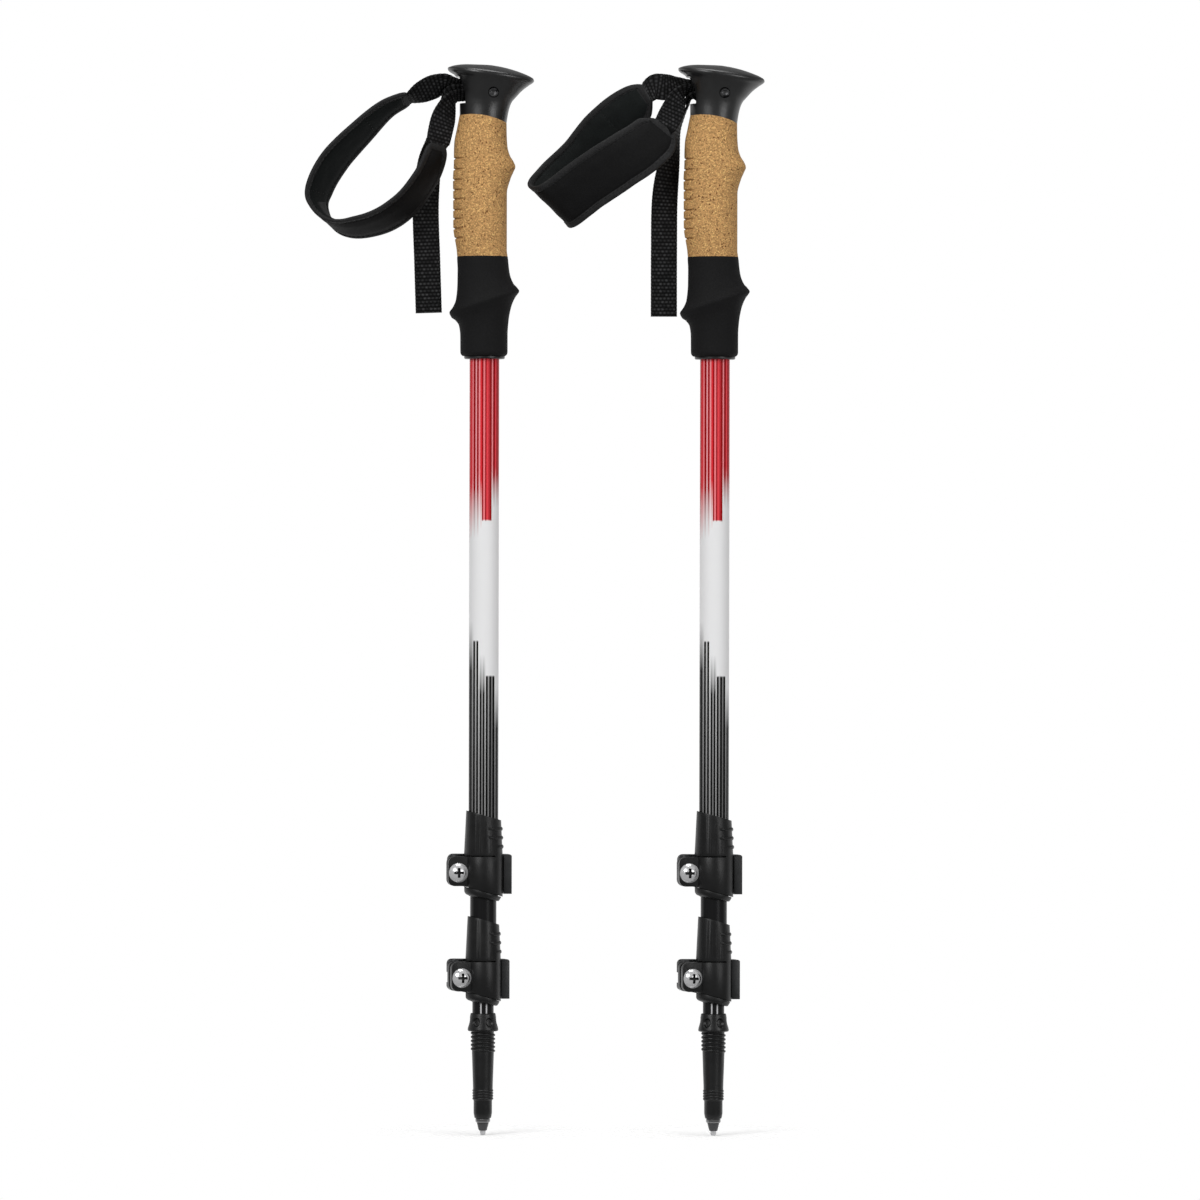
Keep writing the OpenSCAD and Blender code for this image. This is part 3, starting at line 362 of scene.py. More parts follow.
class PoleColours(bpy.types.PropertyGroup):
    """Colours of the finishes."""

    moulding: colour_prop("Moulding", "Satin black of the heads, clamps and tips", (0.0085, 0.0087, 0.009))
    lever: colour_prop("Lever", "Dark grey of the clamp levers", (0.026, 0.027, 0.028))
    cork: colour_prop("Cork", "Main colour of the cork", (0.6, 0.33, 0.122))
    # This dark cork colour is both the real bark specks and the painted shade in the finger grooves
    cork_grain_and_groove_shade: colour_prop("Cork grain and groove shade", "Dark bark specks in the cork", (0.16, 0.062, 0.018))
    cork_pale: colour_prop("Cork fleck", "Pale flecks in the cork", (0.82, 0.58, 0.29))
    foam: colour_prop("Foam", "Near black of the foam", (0.0085, 0.0085, 0.0088))
    tube_white: colour_prop("Tube white", "Bare white of the upper tube", (0.96, 0.96, 0.965))
    tube_black: colour_prop("Tube black", "Black of the tubes and stripes", (0.008, 0.008, 0.0085))
    chrome: colour_prop("Bright plating", "Plated screws and rings", (0.82, 0.82, 0.83))
    webbing: colour_prop("Webbing", "Black of the webbing", (0.0085, 0.0085, 0.0088))
    pad_cloth: colour_prop("Pad cloth", "Outer cloth of the pads", (0.0052, 0.0052, 0.0054))
    pad_lining: colour_prop("Pad lining", "Lining of the pads", (0.0085, 0.0102, 0.01))
    binding: colour_prop("Binding", "Binding and thread of the pads", (0.02, 0.02, 0.0205))


def sizes():
    return bpy.context.scene.pole_sizes


def colours():
    return bpy.context.scene.pole_colours


# Mesh helpers


def new_piece(name, verts, faces, materials, uvs=None, face_slots=None):
    """A smooth mesh object at the origin. uvs holds one (u, v) for each face corner."""
    mesh = bpy.data.meshes.new(name)
    mesh.from_pydata([tuple(v) for v in verts], [], faces)
    for material in materials:
        mesh.materials.append(material)
    if uvs:
        mesh.uv_layers.new(name="Along").data.foreach_set("uv", [c for uv in uvs for c in uv])
    if face_slots:
        mesh.polygons.foreach_set("material_index", face_slots)
    mesh.polygons.foreach_set("use_smooth", [True] * len(mesh.polygons))
    mesh.update()
    piece = bpy.data.objects.new(name, mesh)
    bpy.context.scene.collection.objects.link(piece)
    return piece


def skin(rings, lengths=None):
    """Points, faces and corner UVs of a tube through rings of points, closed at both ends.

    u runs once round a ring and v takes the ring's length, in metres.
    """
    n = len(rings[0])
    lengths = lengths or [0.0] * len(rings)
    verts = [point for ring in rings for point in ring]
    faces, uvs = [], []
    for i in range(len(rings) - 1):
        for k in range(n):
            a, b = i * n + k, i * n + (k + 1) % n
            faces.append((a, b, b + n, a + n))
            u0, u1 = k / n, (k + 1) / n
            uvs += [(u0, lengths[i]), (u1, lengths[i]), (u1, lengths[i + 1]), (u0, lengths[i + 1])]
    last = (len(rings) - 1) * n
    faces += [tuple(range(n - 1, -1, -1)), tuple(range(last, last + n))]
    uvs += [(k / n, lengths[0]) for k in range(n - 1, -1, -1)]
    uvs += [(k / n, lengths[-1]) for k in range(n)]
    return verts, faces, uvs


def shell(name, rings, materials, lengths=None, face_slots=None, capped=True):
    """A closed piece whose skin runs through rings of points. Without caps, the last ring meets the first."""
    verts, faces, uvs = skin(rings, lengths)
    if not capped:
        faces, uvs = faces[:-2], uvs[: -2 * len(rings[0])]
    piece = new_piece(name, verts, faces, materials, uvs if lengths else None, face_slots)
    close_shell(piece)
    return piece


def angles(sides):
    """Even steps of one turn."""
    return [2 * math.pi * k / sides for k in range(sides)]


def turned(name, profile, x0, materials, sides=96, closed=False):
    """A piece turned about a pole's axis from (radius, height) points in millimetres, from the foot up.

    A closed profile is a ring with a bore, otherwise the ends are capped.
    """
    turn = [(math.sin(a), -math.cos(a)) for a in angles(sides)]
    rings = []
    for r, z in profile + (profile[:1] if closed else []):
        rings.append([Vector((x0 + r * MM * x, r * MM * y, z * MM)) for x, y in turn])
    return shell(name, rings, materials, [ring[0].z for ring in rings], capped=not closed)


def close_shell(piece):
    """Merges doubled points and turns every face outwards."""
    mesh = bmesh.new()
    mesh.from_mesh(piece.data)
    bmesh.ops.remove_doubles(mesh, verts=mesh.verts, dist=1e-6)
    bmesh.ops.recalc_face_normals(mesh, faces=mesh.faces)
    mesh.to_mesh(piece.data)
    mesh.free()


def settle(piece):
    """Turns a piece with modifiers into a plain mesh."""
    graph = bpy.context.evaluated_depsgraph_get()
    final = piece.evaluated_get(graph)
    mesh = bpy.data.meshes.new_from_object(final, preserve_all_data_layers=True, depsgraph=graph)
    piece.modifiers.clear()
    piece.data = mesh
    return piece


def crease(piece, degrees=32):
    """Smooth faces with sharp edges where they turn by more than an angle."""
    piece.data.polygons.foreach_set("use_smooth", [True] * len(piece.data.polygons))
    piece.data.set_sharp_from_angle(angle=math.radians(degrees))


def cut_away(piece, cutter):
    """Cuts a helper's volume out of a piece and removes the helper."""
    cut = piece.modifiers.new("Cut", "BOOLEAN")
    cut.operation, cut.solver, cut.object = "DIFFERENCE", "EXACT", cutter
    settle(piece)
    bpy.data.objects.remove(cutter)


def rounded_copy(node, name, materials, edge, degrees=32, shape=None):
    """A part's solid with merged points and rounded edges. shape, if given, works on it in between."""
    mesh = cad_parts[node].data.copy()
    mesh.materials.clear()
    for material in materials:
        mesh.materials.append(material)
    piece = bpy.data.objects.new(name, mesh)
    bpy.context.scene.collection.objects.link(piece)
    work = bmesh.new()
    work.from_mesh(mesh)
    bmesh.ops.remove_doubles(work, verts=work.verts, dist=2e-6)
    bmesh.ops.dissolve_limit(work, angle_limit=math.radians(0.6), verts=work.verts, edges=work.edges)
    if shape:
        shape(work)
    work.to_mesh(mesh)
    work.free()
    bevel = piece.modifiers.new("Round", "BEVEL")
    bevel.width, bevel.segments, bevel.limit_method = edge, 2, "ANGLE"
    bevel.angle_limit = math.radians(degrees)
    settle(piece)
    crease(piece, degrees)
    return piece


def dress(piece, body, slot, *nodes):
    """Hands a finished piece to its body, in the place of its parts' solids."""
    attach(piece, body)
    if nodes:
        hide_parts(*nodes)
    return piece


def slope_at(rows, i, c):
    """Slope of one column at a row, flat at a peak so that the curve never overshoots."""
    if i in (0, len(rows) - 1):
        a, b = (rows[0], rows[1]) if i == 0 else (rows[-2], rows[-1])
        return (b[c] - a[c]) / (b[0] - a[0])
    before = (rows[i][c] - rows[i - 1][c]) / (rows[i][0] - rows[i - 1][0])
    after = (rows[i + 1][c] - rows[i][c]) / (rows[i + 1][0] - rows[i][0])
    return 0 if before * after <= 0 else 2 * before * after / (before + after)


def row_at(rows, share):
    """The outline at a share of the height, on a smooth curve through the rows."""
    i = max(k for k in range(len(rows) - 1) if rows[k][0] <= share)
    low, high = rows[i], rows[i + 1]
    h = high[0] - low[0]
    t = (share - low[0]) / h
    row = [share]
    for c in range(1, len(low)):
        m0, m1 = h * slope_at(rows, i, c), h * slope_at(rows, i + 1, c)
        a, b = low[c], high[c]
        row.append(a + t * (m0 + t * (3 * (b - a) - 2 * m0 - m1 + t * (2 * (a - b) + m0 + m1))))
    return row


def spline(rows, steps):
    """A smooth curve through the rows of a strap's route."""
    out = []
    for i in range(len(rows) - 1):
        a, b, c, d = rows[max(i - 1, 0)], rows[i], rows[i + 1], rows[min(i + 2, len(rows) - 1)]
        for k in range(steps):
            u = k / steps
            out.append(
                [
                    q + 0.5 * u * (r - p + u * (2 * p - 5 * q + 4 * r - s + u * (3 * q - 3 * r + s - p)))
                    for p, q, r, s in zip(a, b, c, d)
                ]
            )
    return out + [list(rows[-1])]


def smooth_step(low, high, x):
    t = min(max((x - low) / (high - low), 0), 1)
    return t * t * (3 - 2 * t)


def straight(a, b, steps):
    """Even points from one (radius, height) to another."""
    return [(a[0] + (b[0] - a[0]) * k / steps, a[1] + (b[1] - a[1]) * k / steps) for k in range(steps + 1)]


def bell(off, half):
    """A bell curve, 1 in the middle."""
    return math.exp(-((off / half) ** 2))


# Node trees


def put(tree, kind, inputs=None, **settings):
    """Adds a node. An input is a value, or an output socket that is linked to it."""
    made = tree.nodes.new(kind)
    for key, value in settings.items():
        setattr(made, key, value)
    for key, value in (inputs or {}).items():
        if isinstance(value, bpy.types.NodeSocket):
            tree.links.new(value, made.inputs[key])
        else:
            made.inputs[key].default_value = value
    return made


def maths(tree, operation, a, b=0.0):
    return put(tree, "ShaderNodeMath", {0: a, 1: b}, operation=operation).outputs[0]


def times(tree, a, b):
    return maths(tree, "MULTIPLY", a, b)


def blend_colours(tree, factor, a, b):
    a, b = (c if isinstance(c, bpy.types.NodeSocket) else (*c[:3], 1) for c in (a, b))
    return put(tree, "ShaderNodeMix", {0: factor, 6: a, 7: b}, data_type="RGBA").outputs[2]


def remap(tree, value, low, high, to_low=0.0, to_high=1.0, soft=False):
    made = put(tree, "ShaderNodeMapRange", {0: value, 1: low, 2: high, 3: to_low, 4: to_high})
    made.interpolation_type = "SMOOTHSTEP" if soft else "LINEAR"
    return made.outputs[0]


def ramp(tree, factor, stops, constant=False):
    """A colour ramp. Each stop is a place and a colour."""
    made = put(tree, "ShaderNodeValToRGB", {0: factor})
    made.color_ramp.interpolation = "CONSTANT" if constant else "LINEAR"
    elements = made.color_ramp.elements
    while len(elements) > 1:
        elements.remove(elements[-1])
    for i, (at, colour) in enumerate(stops):
        element = elements[0] if i == 0 else elements.new(at)
        element.position = at
        element.color = (*colour[:3], 1)
    return made.outputs[0]


def new_group(name, kind, inputs, outputs):
    """A node group with named sockets. Each input has a type and, where it needs one, a default."""
    tree = bpy.data.node_groups.new(name, kind + "NodeTree")
    for label, (socket, *default) in inputs.items():
        made = tree.interface.new_socket(label, in_out="INPUT", socket_type="NodeSocket" + socket)
        if default:
            made.default_value = default[0]
    for label, socket in outputs.items():
        tree.interface.new_socket(label, in_out="OUTPUT", socket_type="NodeSocket" + socket)
    return tree, tree.nodes.new("NodeGroupInput").outputs, tree.nodes.new("NodeGroupOutput").inputs


def noise_at(tree, vector, scale, detail=3.0, rough=0.55):
    inputs = {"Vector": vector, "Scale": scale, "Detail": detail, "Roughness": rough}
    return put(tree, "ShaderNodeTexNoise", inputs).outputs["Fac"]


def grain_group():
    """Fine spark-eroded grain of a moulding, and broad patches where hands have rubbed it."""
    inputs = {"Vector": ("Vector",), "Grain size": ("Float", 0.0004)}
    tree, given, out = new_group("Moulded grain", "Shader", inputs, {"Height": "Float", "Patches": "Float"})
    scale = maths(tree, "DIVIDE", 1.0, given["Grain size"])
    fine = noise_at(tree, given["Vector"], scale, 2.0, 0.6)
    spread = {"Vector": given["Vector"], "Scale": scale}
    cells = put(tree, "ShaderNodeTexVoronoi", spread, feature="SMOOTH_F1")
    rubbed = noise_at(tree, given["Vector"], 90.0, 4.0, 0.65)
    tree.links.new(maths(tree, "ADD", fine, cells.outputs["Distance"]), out["Height"])
    tree.links.new(remap(tree, rubbed, 0.35, 0.68), out["Patches"])
    return tree


def weave_group():
    """Cross ribs of webbing, each a row of short yarns, from a UV map with its v in metres."""
    inputs = {"UV": ("Vector",), "Rib pitch": ("Float", 0.0022), "Yarns round": ("Float", 20.0)}
    tree, given, out = new_group("Woven ribs", "Shader", inputs, {"Height": "Float", "Tone": "Float"})
    parts = put(tree, "ShaderNodeSeparateXYZ", {0: given["UV"]}).outputs
    rows = maths(tree, "DIVIDE", parts["Y"], given["Rib pitch"])
    row = maths(tree, "FLOOR", rows)
    rib = maths(tree, "SINE", times(tree, maths(tree, "SUBTRACT", rows, row), math.pi))
    across = maths(tree, "ADD", times(tree, parts["X"], given["Yarns round"]), times(tree, row, 0.5))
    yarn = maths(tree, "SINE", times(tree, maths(tree, "FRACT", across), math.pi))
    hump = times(tree, maths(tree, "POWER", rib, 0.8), maths(tree, "ADD", 0.35, times(tree, yarn, 0.65)))
    cell = put(tree, "ShaderNodeCombineXYZ", {0: maths(tree, "FLOOR", across), 1: row}).outputs[0]
    shade = put(tree, "ShaderNodeTexWhiteNoise", {"Vector": cell}, noise_dimensions="2D").outputs["Value"]
    tree.links.new(hump, out["Height"])
    # Tone is the yarn's height times a random tone for each yarn (shade here is that random tone). Woven
    # webbing uses it to paint highlights on the yarn tops and shade in the hollows.
    tree.links.new(times(tree, hump, maths(tree, "ADD", 0.55, times(tree, shade, 0.45))), out["Tone"])
    return tree


def knit_group():
    """Fine knitted or brushed cloth: small loops, with a slow unevenness."""
    inputs = {"Vector": ("Vector",), "Loop size": ("Float", 0.0007)}
    tree, given, out = new_group("Knitted cloth", "Shader", inputs, {"Height": "Float", "Tone": "Float"})
    scale = maths(tree, "DIVIDE", 1.0, given["Loop size"])
    cells = {"Vector": given["Vector"], "Scale": scale, "Randomness": 0.45}
    loops = put(tree, "ShaderNodeTexVoronoi", cells).outputs["Distance"]
    fuzz = noise_at(tree, given["Vector"], scale, 3.0, 0.5)
    slow = noise_at(tree, given["Vector"], 130.0, 3.0, 0.5)
    tree.links.new(maths(tree, "ADD", maths(tree, "SUBTRACT", 1.0, loops), fuzz), out["Height"])
    tone = times(tree, remap(tree, fuzz, 0.3, 0.7), remap(tree, slow, 0.3, 0.7, 0.45, 1.0))
    tree.links.new(tone, out["Tone"])
    return tree


def shared(name, make):
    """A node group, built the first time that it is asked for."""
    return bpy.data.node_groups.get(name) or make()


def use_group(tree, group, inputs):
    return put(tree, "ShaderNodeGroup", inputs, node_tree=group).outputs


def new_material(name, **constants):
    """A material with one Principled shader. Constants are set on the shader's own sockets."""
    material = bpy.data.materials.new(name)
    material.use_nodes = True
    tree = material.node_tree
    shader = tree.nodes["Principled BSDF"]
    for key, value in constants.items():
        shader.inputs[key.replace("_", " ")].default_value = value
    return material, tree, shader.inputs


def surface(tree, shader, colour, rough, normal):
    """Links what varies over a finish to its shader."""
    for name, value in (("Base Color", colour), ("Roughness", rough), ("Normal", normal)):
        tree.links.new(value, shader[name])


def bump(tree, height, depth, strength=1.0):
    return put(tree, "ShaderNodeBump", {"Height": height, "Distance": depth, "Strength": strength}).outputs[0]


def scaled(colour, factor):
    return (*[min(c * factor, 1) for c in colour[:3]], 1)


# Materials


def place(tree, scale=(1, 1, 1)):
    """The piece's own coordinates, in metres, times a scale."""
    spot = put(tree, "ShaderNodeTexCoord").outputs["Object"]
    return put(tree, "ShaderNodeMapping", {"Vector": spot, "Scale": scale}).outputs[0]


def along(tree):
    """The piece's UV map: u round or across it, v along it in metres."""
    spot = put(tree, "ShaderNodeUVMap", uv_map="Along").outputs[0]
    return put(tree, "ShaderNodeMapping", {"Vector": spot}).outputs[0]


def moulded(name, colour, rough, grain=0.00035, depth=2.2e-5, shine=0.32):
    """Satin moulded plastic with a spark-eroded grain and rubbed patches."""
    material, tree, shader = new_material(name, Specular_IOR_Level=shine)
    given = {"Vector": place(tree), "Grain size": grain}
    grains = use_group(tree, shared("Moulded grain", grain_group), given)
    tone = blend_colours(tree, grains["Patches"], scaled(colour, 0.8), scaled(colour, 1.25))
    gloss = remap(tree, grains["Patches"], 0, 1, rough - 0.05, rough + 0.07)
    surface(tree, shader, tone, gloss, bump(tree, grains["Height"], depth))
    return material


def cork_material():
    """Pressed cork: small granules of several browns, dark bark specks and pale flecks, with painted shade in
    the finger grooves.
    """
    material, tree, shader = new_material("Cork", Specular_IOR_Level=0.25)
    own = colours()

    def vectors(operation, a, key, b):
        return put(tree, "ShaderNodeVectorMath", {0: a, key: b}, operation=operation).outputs[0]

    def granules(vector, scale):
        made = put(tree, "ShaderNodeTexVoronoi", {"Vector": vector, "Scale": scale}).outputs
        return put(tree, "ShaderNodeSeparateColor", {0: made["Color"]}).outputs, made["Distance"]

    def above(value, limit, reach):
        return times(tree, maths(tree, "GREATER_THAN", value, limit), reach)

    spot = place(tree)
    cloudy = {"Vector": spot, "Scale": 1100.0, "Detail": 3.0}
    wander = put(tree, "ShaderNodeTexNoise", cloudy).outputs["Color"]
    sway = vectors("SCALE", vectors("SUBTRACT", wander, 1, (0.5, 0.5, 0.5)), "Scale", 0.0007)
    bent = vectors("ADD", spot, 1, sway)
    small, small_apart = granules(bent, 1700.0)
    large, large_apart = granules(bent, 900.0)
    fine = noise_at(tree, spot, 3800.0, 4.0, 0.7)
    browns = ((0.0, 0.45), (0.25, 0.8), (0.6, 1), (0.85, 1.24), (1.0, 2.0))
    tone = ramp(tree, small[0], [(at, scaled(own.cork, light)) for at, light in browns])
    edge = remap(tree, small_apart, 0.35, 0.75)
    speck = above(large[1], 0.94, remap(tree, large_apart, 0.56, 0.44))
    tiny = above(small[2], 0.93, remap(tree, small_apart, 0.4, 0.25))
    # How deep a place lies in a finger groove, used to paint shade there
    groove = put(tree, "ShaderNodeAttribute", attribute_name="groove").outputs["Fac"]
    layers = (
        (edge, 0.25, scaled(own.cork, 0.6)),
        (remap(tree, fine, 0.5, 0.75), 0.25, own.cork_pale),
        (speck, 0.95, own.cork_grain_and_groove_shade),
        (tiny, 0.55, own.cork_grain_and_groove_shade),
        # Painted shade: the finger grooves take half of the dark cork colour
        (groove, 0.5, own.cork_grain_and_groove_shade),
    )
    for mask, share, colour in layers:
        tone = blend_colours(tree, times(tree, mask, share), tone, colour)
    pits = maths(tree, "ADD", times(tree, speck, 0.8), edge)
    height = maths(tree, "SUBTRACT", times(tree, fine, 0.5), pits)
    surface(tree, shader, tone, remap(tree, fine, 0.3, 0.7, 0.66, 0.86), bump(tree, height, 5e-5, 0.6))
    return material


def foam_material():
    """Close-cell foam with a ground, velvety skin."""
    material, tree, shader = new_material("Foam", Specular_IOR_Level=0.12)
    own, spot = colours(), place(tree)
    cells = put(tree, "ShaderNodeTexVoronoi", {"Vector": spot, "Scale": 2300.0}).outputs["Distance"]
    slow = noise_at(tree, spot, 160.0)
    mottle = times(tree, remap(tree, cells, 0.1, 0.7), remap(tree, slow, 0.3, 0.7, 0.5, 1.0))
    tone = blend_colours(tree, mottle, scaled(own.foam, 0.7), scaled(own.foam, 1.6))
    surface(tree, shader, tone, remap(tree, slow, 0.3, 0.7, 0.68, 0.8), bump(tree, cells, 7e-5, 0.8))
    return material


def lacquered(tree, shader, colour):
    """A lacquered tube's colour, with faint orange peel and wipe marks."""
    peel = noise_at(tree, place(tree), 420.0, 2.0)
    marks = noise_at(tree, place(tree, (900, 900, 25)), 1.0, 4.0, 0.7)
    surface(tree, shader, colour, remap(tree, marks, 0.3, 0.75, 0.2, 0.33), bump(tree, peel, 4e-6))


# Stripes on the upper tube, left to right over its front, group by group: where a stripe starts as a share of
# the width, how light it is where it is red and where it is black, and its group.
STRIPES = [
    (0, 0.4, 0.4, 0), (0.004, 0.9, 0.9, 0), (0.013, 0.05, 0.05, 0), (0.03, 0.5, 0, 0), (0.1, 0.9, 0.9, 0),
    (0.15, 0, 0.12, 1), (0.21, 1, 0.95, 1), (0.255, 0.05, 0, 1),
    (0.32, 0.95, 1, 2), (0.37, 0.55, 0.15, 2),
    (0.43, 0, 0.9, 3), (0.475, 0.9, 0.2, 3), (0.535, 0.05, 1, 3),
    (0.575, 0.7, 0, 4), (0.645, 0.35, 0.9, 4), (0.69, 0, 0, 4),
    (0.755, 0.95, 0.8, 5), (0.8, 0.05, 0.05, 5),
    (0.865, 0.8, 0.9, 6), (0.91, 0.1, 0.05, 6), (0.955, 0.4, 0.6, 6),
    (0.968, 0.05, 0, 6), (0.982, 0.85, 0.9, 6), (0.993, 0.1, 0.1, 6),
]
# For each group, the heights in metres between which the red fades out, and the black comes in.
FADES = [
    ((0.356, 0.388), (0.282, 0.312)),
    ((0.362, 0.392), (0.2995, 0.3005)),
    ((0.362, 0.392), (0.268, 0.292)),
    ((0.3725, 0.3735), (0.268, 0.292)),
    ((0.3725, 0.3735), (0.2783, 0.2793)),
    ((0.38, 0.4), (0.2783, 0.2793)),
    ((0.38, 0.4), (0.247, 0.272)),
]
# Foot and height of the stretch that holds all the fades, in metres
PRINT_Z, PRINT_H = 0.24, 0.18
# Tones of the red and the black stripes, from the darkest to the lightest
RED_TONES = (
    (0, (0.34, 0.0008, 0.003)),
    (0.3, (0.55, 0.017, 0.03)),
    (0.55, (0.8, 0.03, 0.042)),
    (0.8, (0.94, 0.085, 0.105)),
    (1, (0.97, 0.38, 0.41)),
)
BLACK_TONES = ((0, 0.0006), (0.25, 0.012), (0.5, 0.065), (0.7, 0.17), (0.85, 0.38), (1, 0.78))


def printed_tube():
    """White lacquered tube whose red stripes fade out half way down and black ones come in."""
    material, tree, shader = new_material("Printed tube", Specular_IOR_Level=0.06)
    own = colours()
    parts = put(tree, "ShaderNodeSeparateXYZ", {0: along(tree)}).outputs
    front = maths(tree, "FRACT", maths(tree, "ADD", times(tree, parts["X"], 2.0), 0.5))
    height = maths(tree, "DIVIDE", maths(tree, "SUBTRACT", parts["Y"], PRINT_Z), PRINT_H)

    def table(which):
        """For red (0) or black (1), the tone and the ends of the fade at each place round the tube."""
        stops = []
        for share, *tones, group in STRIPES:
            low, high = ((z - PRINT_Z) / PRINT_H for z in FADES[group][which])
            stops.append((0.5 + math.asin(2 * share - 1) / math.pi, (tones[which], low, high)))
        return put(tree, "ShaderNodeSeparateColor", {0: ramp(tree, front, stops, True)}).outputs

    red, red_low, red_high = table(0)
    black, black_low, black_high = table(1)
    red_tone = ramp(tree, red, RED_TONES)
    dimmed = times(tree, black, remap(tree, height, -0.2, 0.33, 0.8, 1.0))
    black_tone = ramp(tree, dimmed, [(at, (tone,) * 3) for at, tone in BLACK_TONES])
    clouds = noise_at(tree, place(tree), 60.0)
    white = blend_colours(tree, clouds, scaled(own.tube_white, 0.96), own.tube_white)
    sooner = times(tree, red, times(tree, maths(tree, "SUBTRACT", red_high, red_low), 0.35))
    red_in = remap(tree, maths(tree, "SUBTRACT", height, sooner), red_low, red_high)
    black_in = remap(tree, height, black_low, black_high, 1.0, 0.0)
    upper = blend_colours(tree, red_in, white, red_tone)
    lacquered(tree, shader, blend_colours(tree, black_in, upper, black_tone))
    return material


def black_tube(name, lines=()):
    """Black lacquered tube, with thin white lines at shares of a turn."""
    material, tree, shader = new_material(name, Specular_IOR_Level=0.16)
    own = colours()
    streaks = noise_at(tree, place(tree, (1400, 1400, 30)), 1.0, 3.0)
    base = blend_colours(tree, streaks, scaled(own.tube_black, 0.75), scaled(own.tube_black, 1.5))
    across = put(tree, "ShaderNodeSeparateXYZ", {0: along(tree)}).outputs["X"]
    for turn, half in lines:
        apart = maths(tree, "ABSOLUTE", maths(tree, "SUBTRACT", across, turn))
        base = blend_colours(tree, remap(tree, apart, half * 1.15, half * 0.85), base, (0.62, 0.62, 0.63))
    lacquered(tree, shader, base)
    return material


def metal(name, colour, rough, streak=(600, 600, 600), bare=1.0):
    """Machined metal with fine tool marks; plating that is less bare is paler and less of a mirror."""
    material, tree, shader = new_material(name, Metallic=bare)
    marks = noise_at(tree, place(tree, streak), 1.0, 4.0, 0.65)
    tone = blend_colours(tree, marks, scaled(colour, 0.78), scaled(colour, 1.08))
    gloss = remap(tree, marks, 0.3, 0.7, rough * 0.7, rough * 1.3)
    surface(tree, shader, tone, gloss, bump(tree, marks, 6e-6))
    return material


def woven(name, colour):
    """Webbing: shiny yarns packed into cross ribs, with painted highlights on the yarn tops and painted shade
    between them.
    """
    material, tree, shader = new_material(name, Specular_IOR_Level=0.1)
    given = {"UV": along(tree), "Rib pitch": sizes().rib_pitch}
    weave = use_group(tree, shared("Woven ribs", weave_group), given)
    # Painted highlight and shade: the yarn tops are up to 7.5 times lighter than the webbing's black, the
    # hollows a fifth of it
    lit = maths(tree, "POWER", weave["Tone"], 2.4)
    tone = blend_colours(tree, lit, scaled(colour, 0.2), scaled(colour, 7.5))
    gloss = remap(tree, weave["Tone"], 0, 1, 0.7, 0.48)
    surface(tree, shader, tone, gloss, bump(tree, weave["Height"], 1.6e-4))
    return material


def cloth(name, colour, loop, rough, depth=6e-5):
    """Knitted, brushed or plain cloth."""
    material, tree, shader = new_material(name, Specular_IOR_Level=0.12)
    given = {"Vector": place(tree), "Loop size": loop}
    knit = use_group(tree, shared("Knitted cloth", knit_group), given)
    tone = blend_colours(tree, knit["Tone"], scaled(colour, 0.55), scaled(colour, 1.6))
    gloss = remap(tree, knit["Tone"], 0, 1, rough - 0.06, rough + 0.06)
    surface(tree, shader, tone, gloss, bump(tree, knit["Height"], depth))
    return material


# Geometry node trees


def end_tree(tree, geometry, material, out):
    """Makes instances real, smooths them, gives them their material and ends the tree."""
    real = put(tree, "GeometryNodeRealizeInstances", {0: geometry}).outputs[0]
    smooth = put(tree, "GeometryNodeSetShadeSmooth", {0: real}).outputs[0]
    done = put(tree, "GeometryNodeSetMaterial", {"Geometry": smooth, "Material": material}).outputs[0]
    tree.links.new(done, out[0])
    return tree


def stitch_tree():
    """Lays stitches along the edges of a line."""
    inputs = {
        "Line": ("Geometry",),
        "Pitch": ("Float", 0.0029),
        "Length": ("Float", 0.0021),
        "Thickness": ("Float", 0.00045),
        "Thread": ("Material",),
    }
    tree, given, out = new_group("Row of stitches", "Geometry", inputs, {"Stitches": "Geometry"})
    curve = put(tree, "GeometryNodeMeshToCurve", {"Mesh": given["Line"]}).outputs[0]
    spread = {"Curve": curve, "Length": given["Pitch"]}
    points = put(tree, "GeometryNodeCurveToPoints", spread, mode="LENGTH").outputs
    seed = put(tree, "FunctionNodeRandomValue", {"Min": 0.85, "Max": 1.08, "Seed": 7}, data_type="FLOAT")
    unevenness = next(s for s in seed.outputs if s.enabled)
    thick = times(tree, given["Thickness"], 0.5)
    long = times(tree, times(tree, given["Length"], 0.5), unevenness)
    scale = put(tree, "ShaderNodeCombineXYZ", {0: thick, 1: thick, 2: long}).outputs[0]
    turn = put(tree, "FunctionNodeAlignRotationToVector", {"Vector": points["Tangent"]}, axis="Z").outputs[0]
    bead = put(tree, "GeometryNodeMeshUVSphere", {"Segments": 8, "Rings": 6, "Radius": 1.0}).outputs["Mesh"]
    beads = {"Points": points["Points"], "Instance": bead, "Rotation": turn, "Scale": scale}
    laid = put(tree, "GeometryNodeInstanceOnPoints", beads).outputs[0]
    return end_tree(tree, laid, given["Thread"], out)


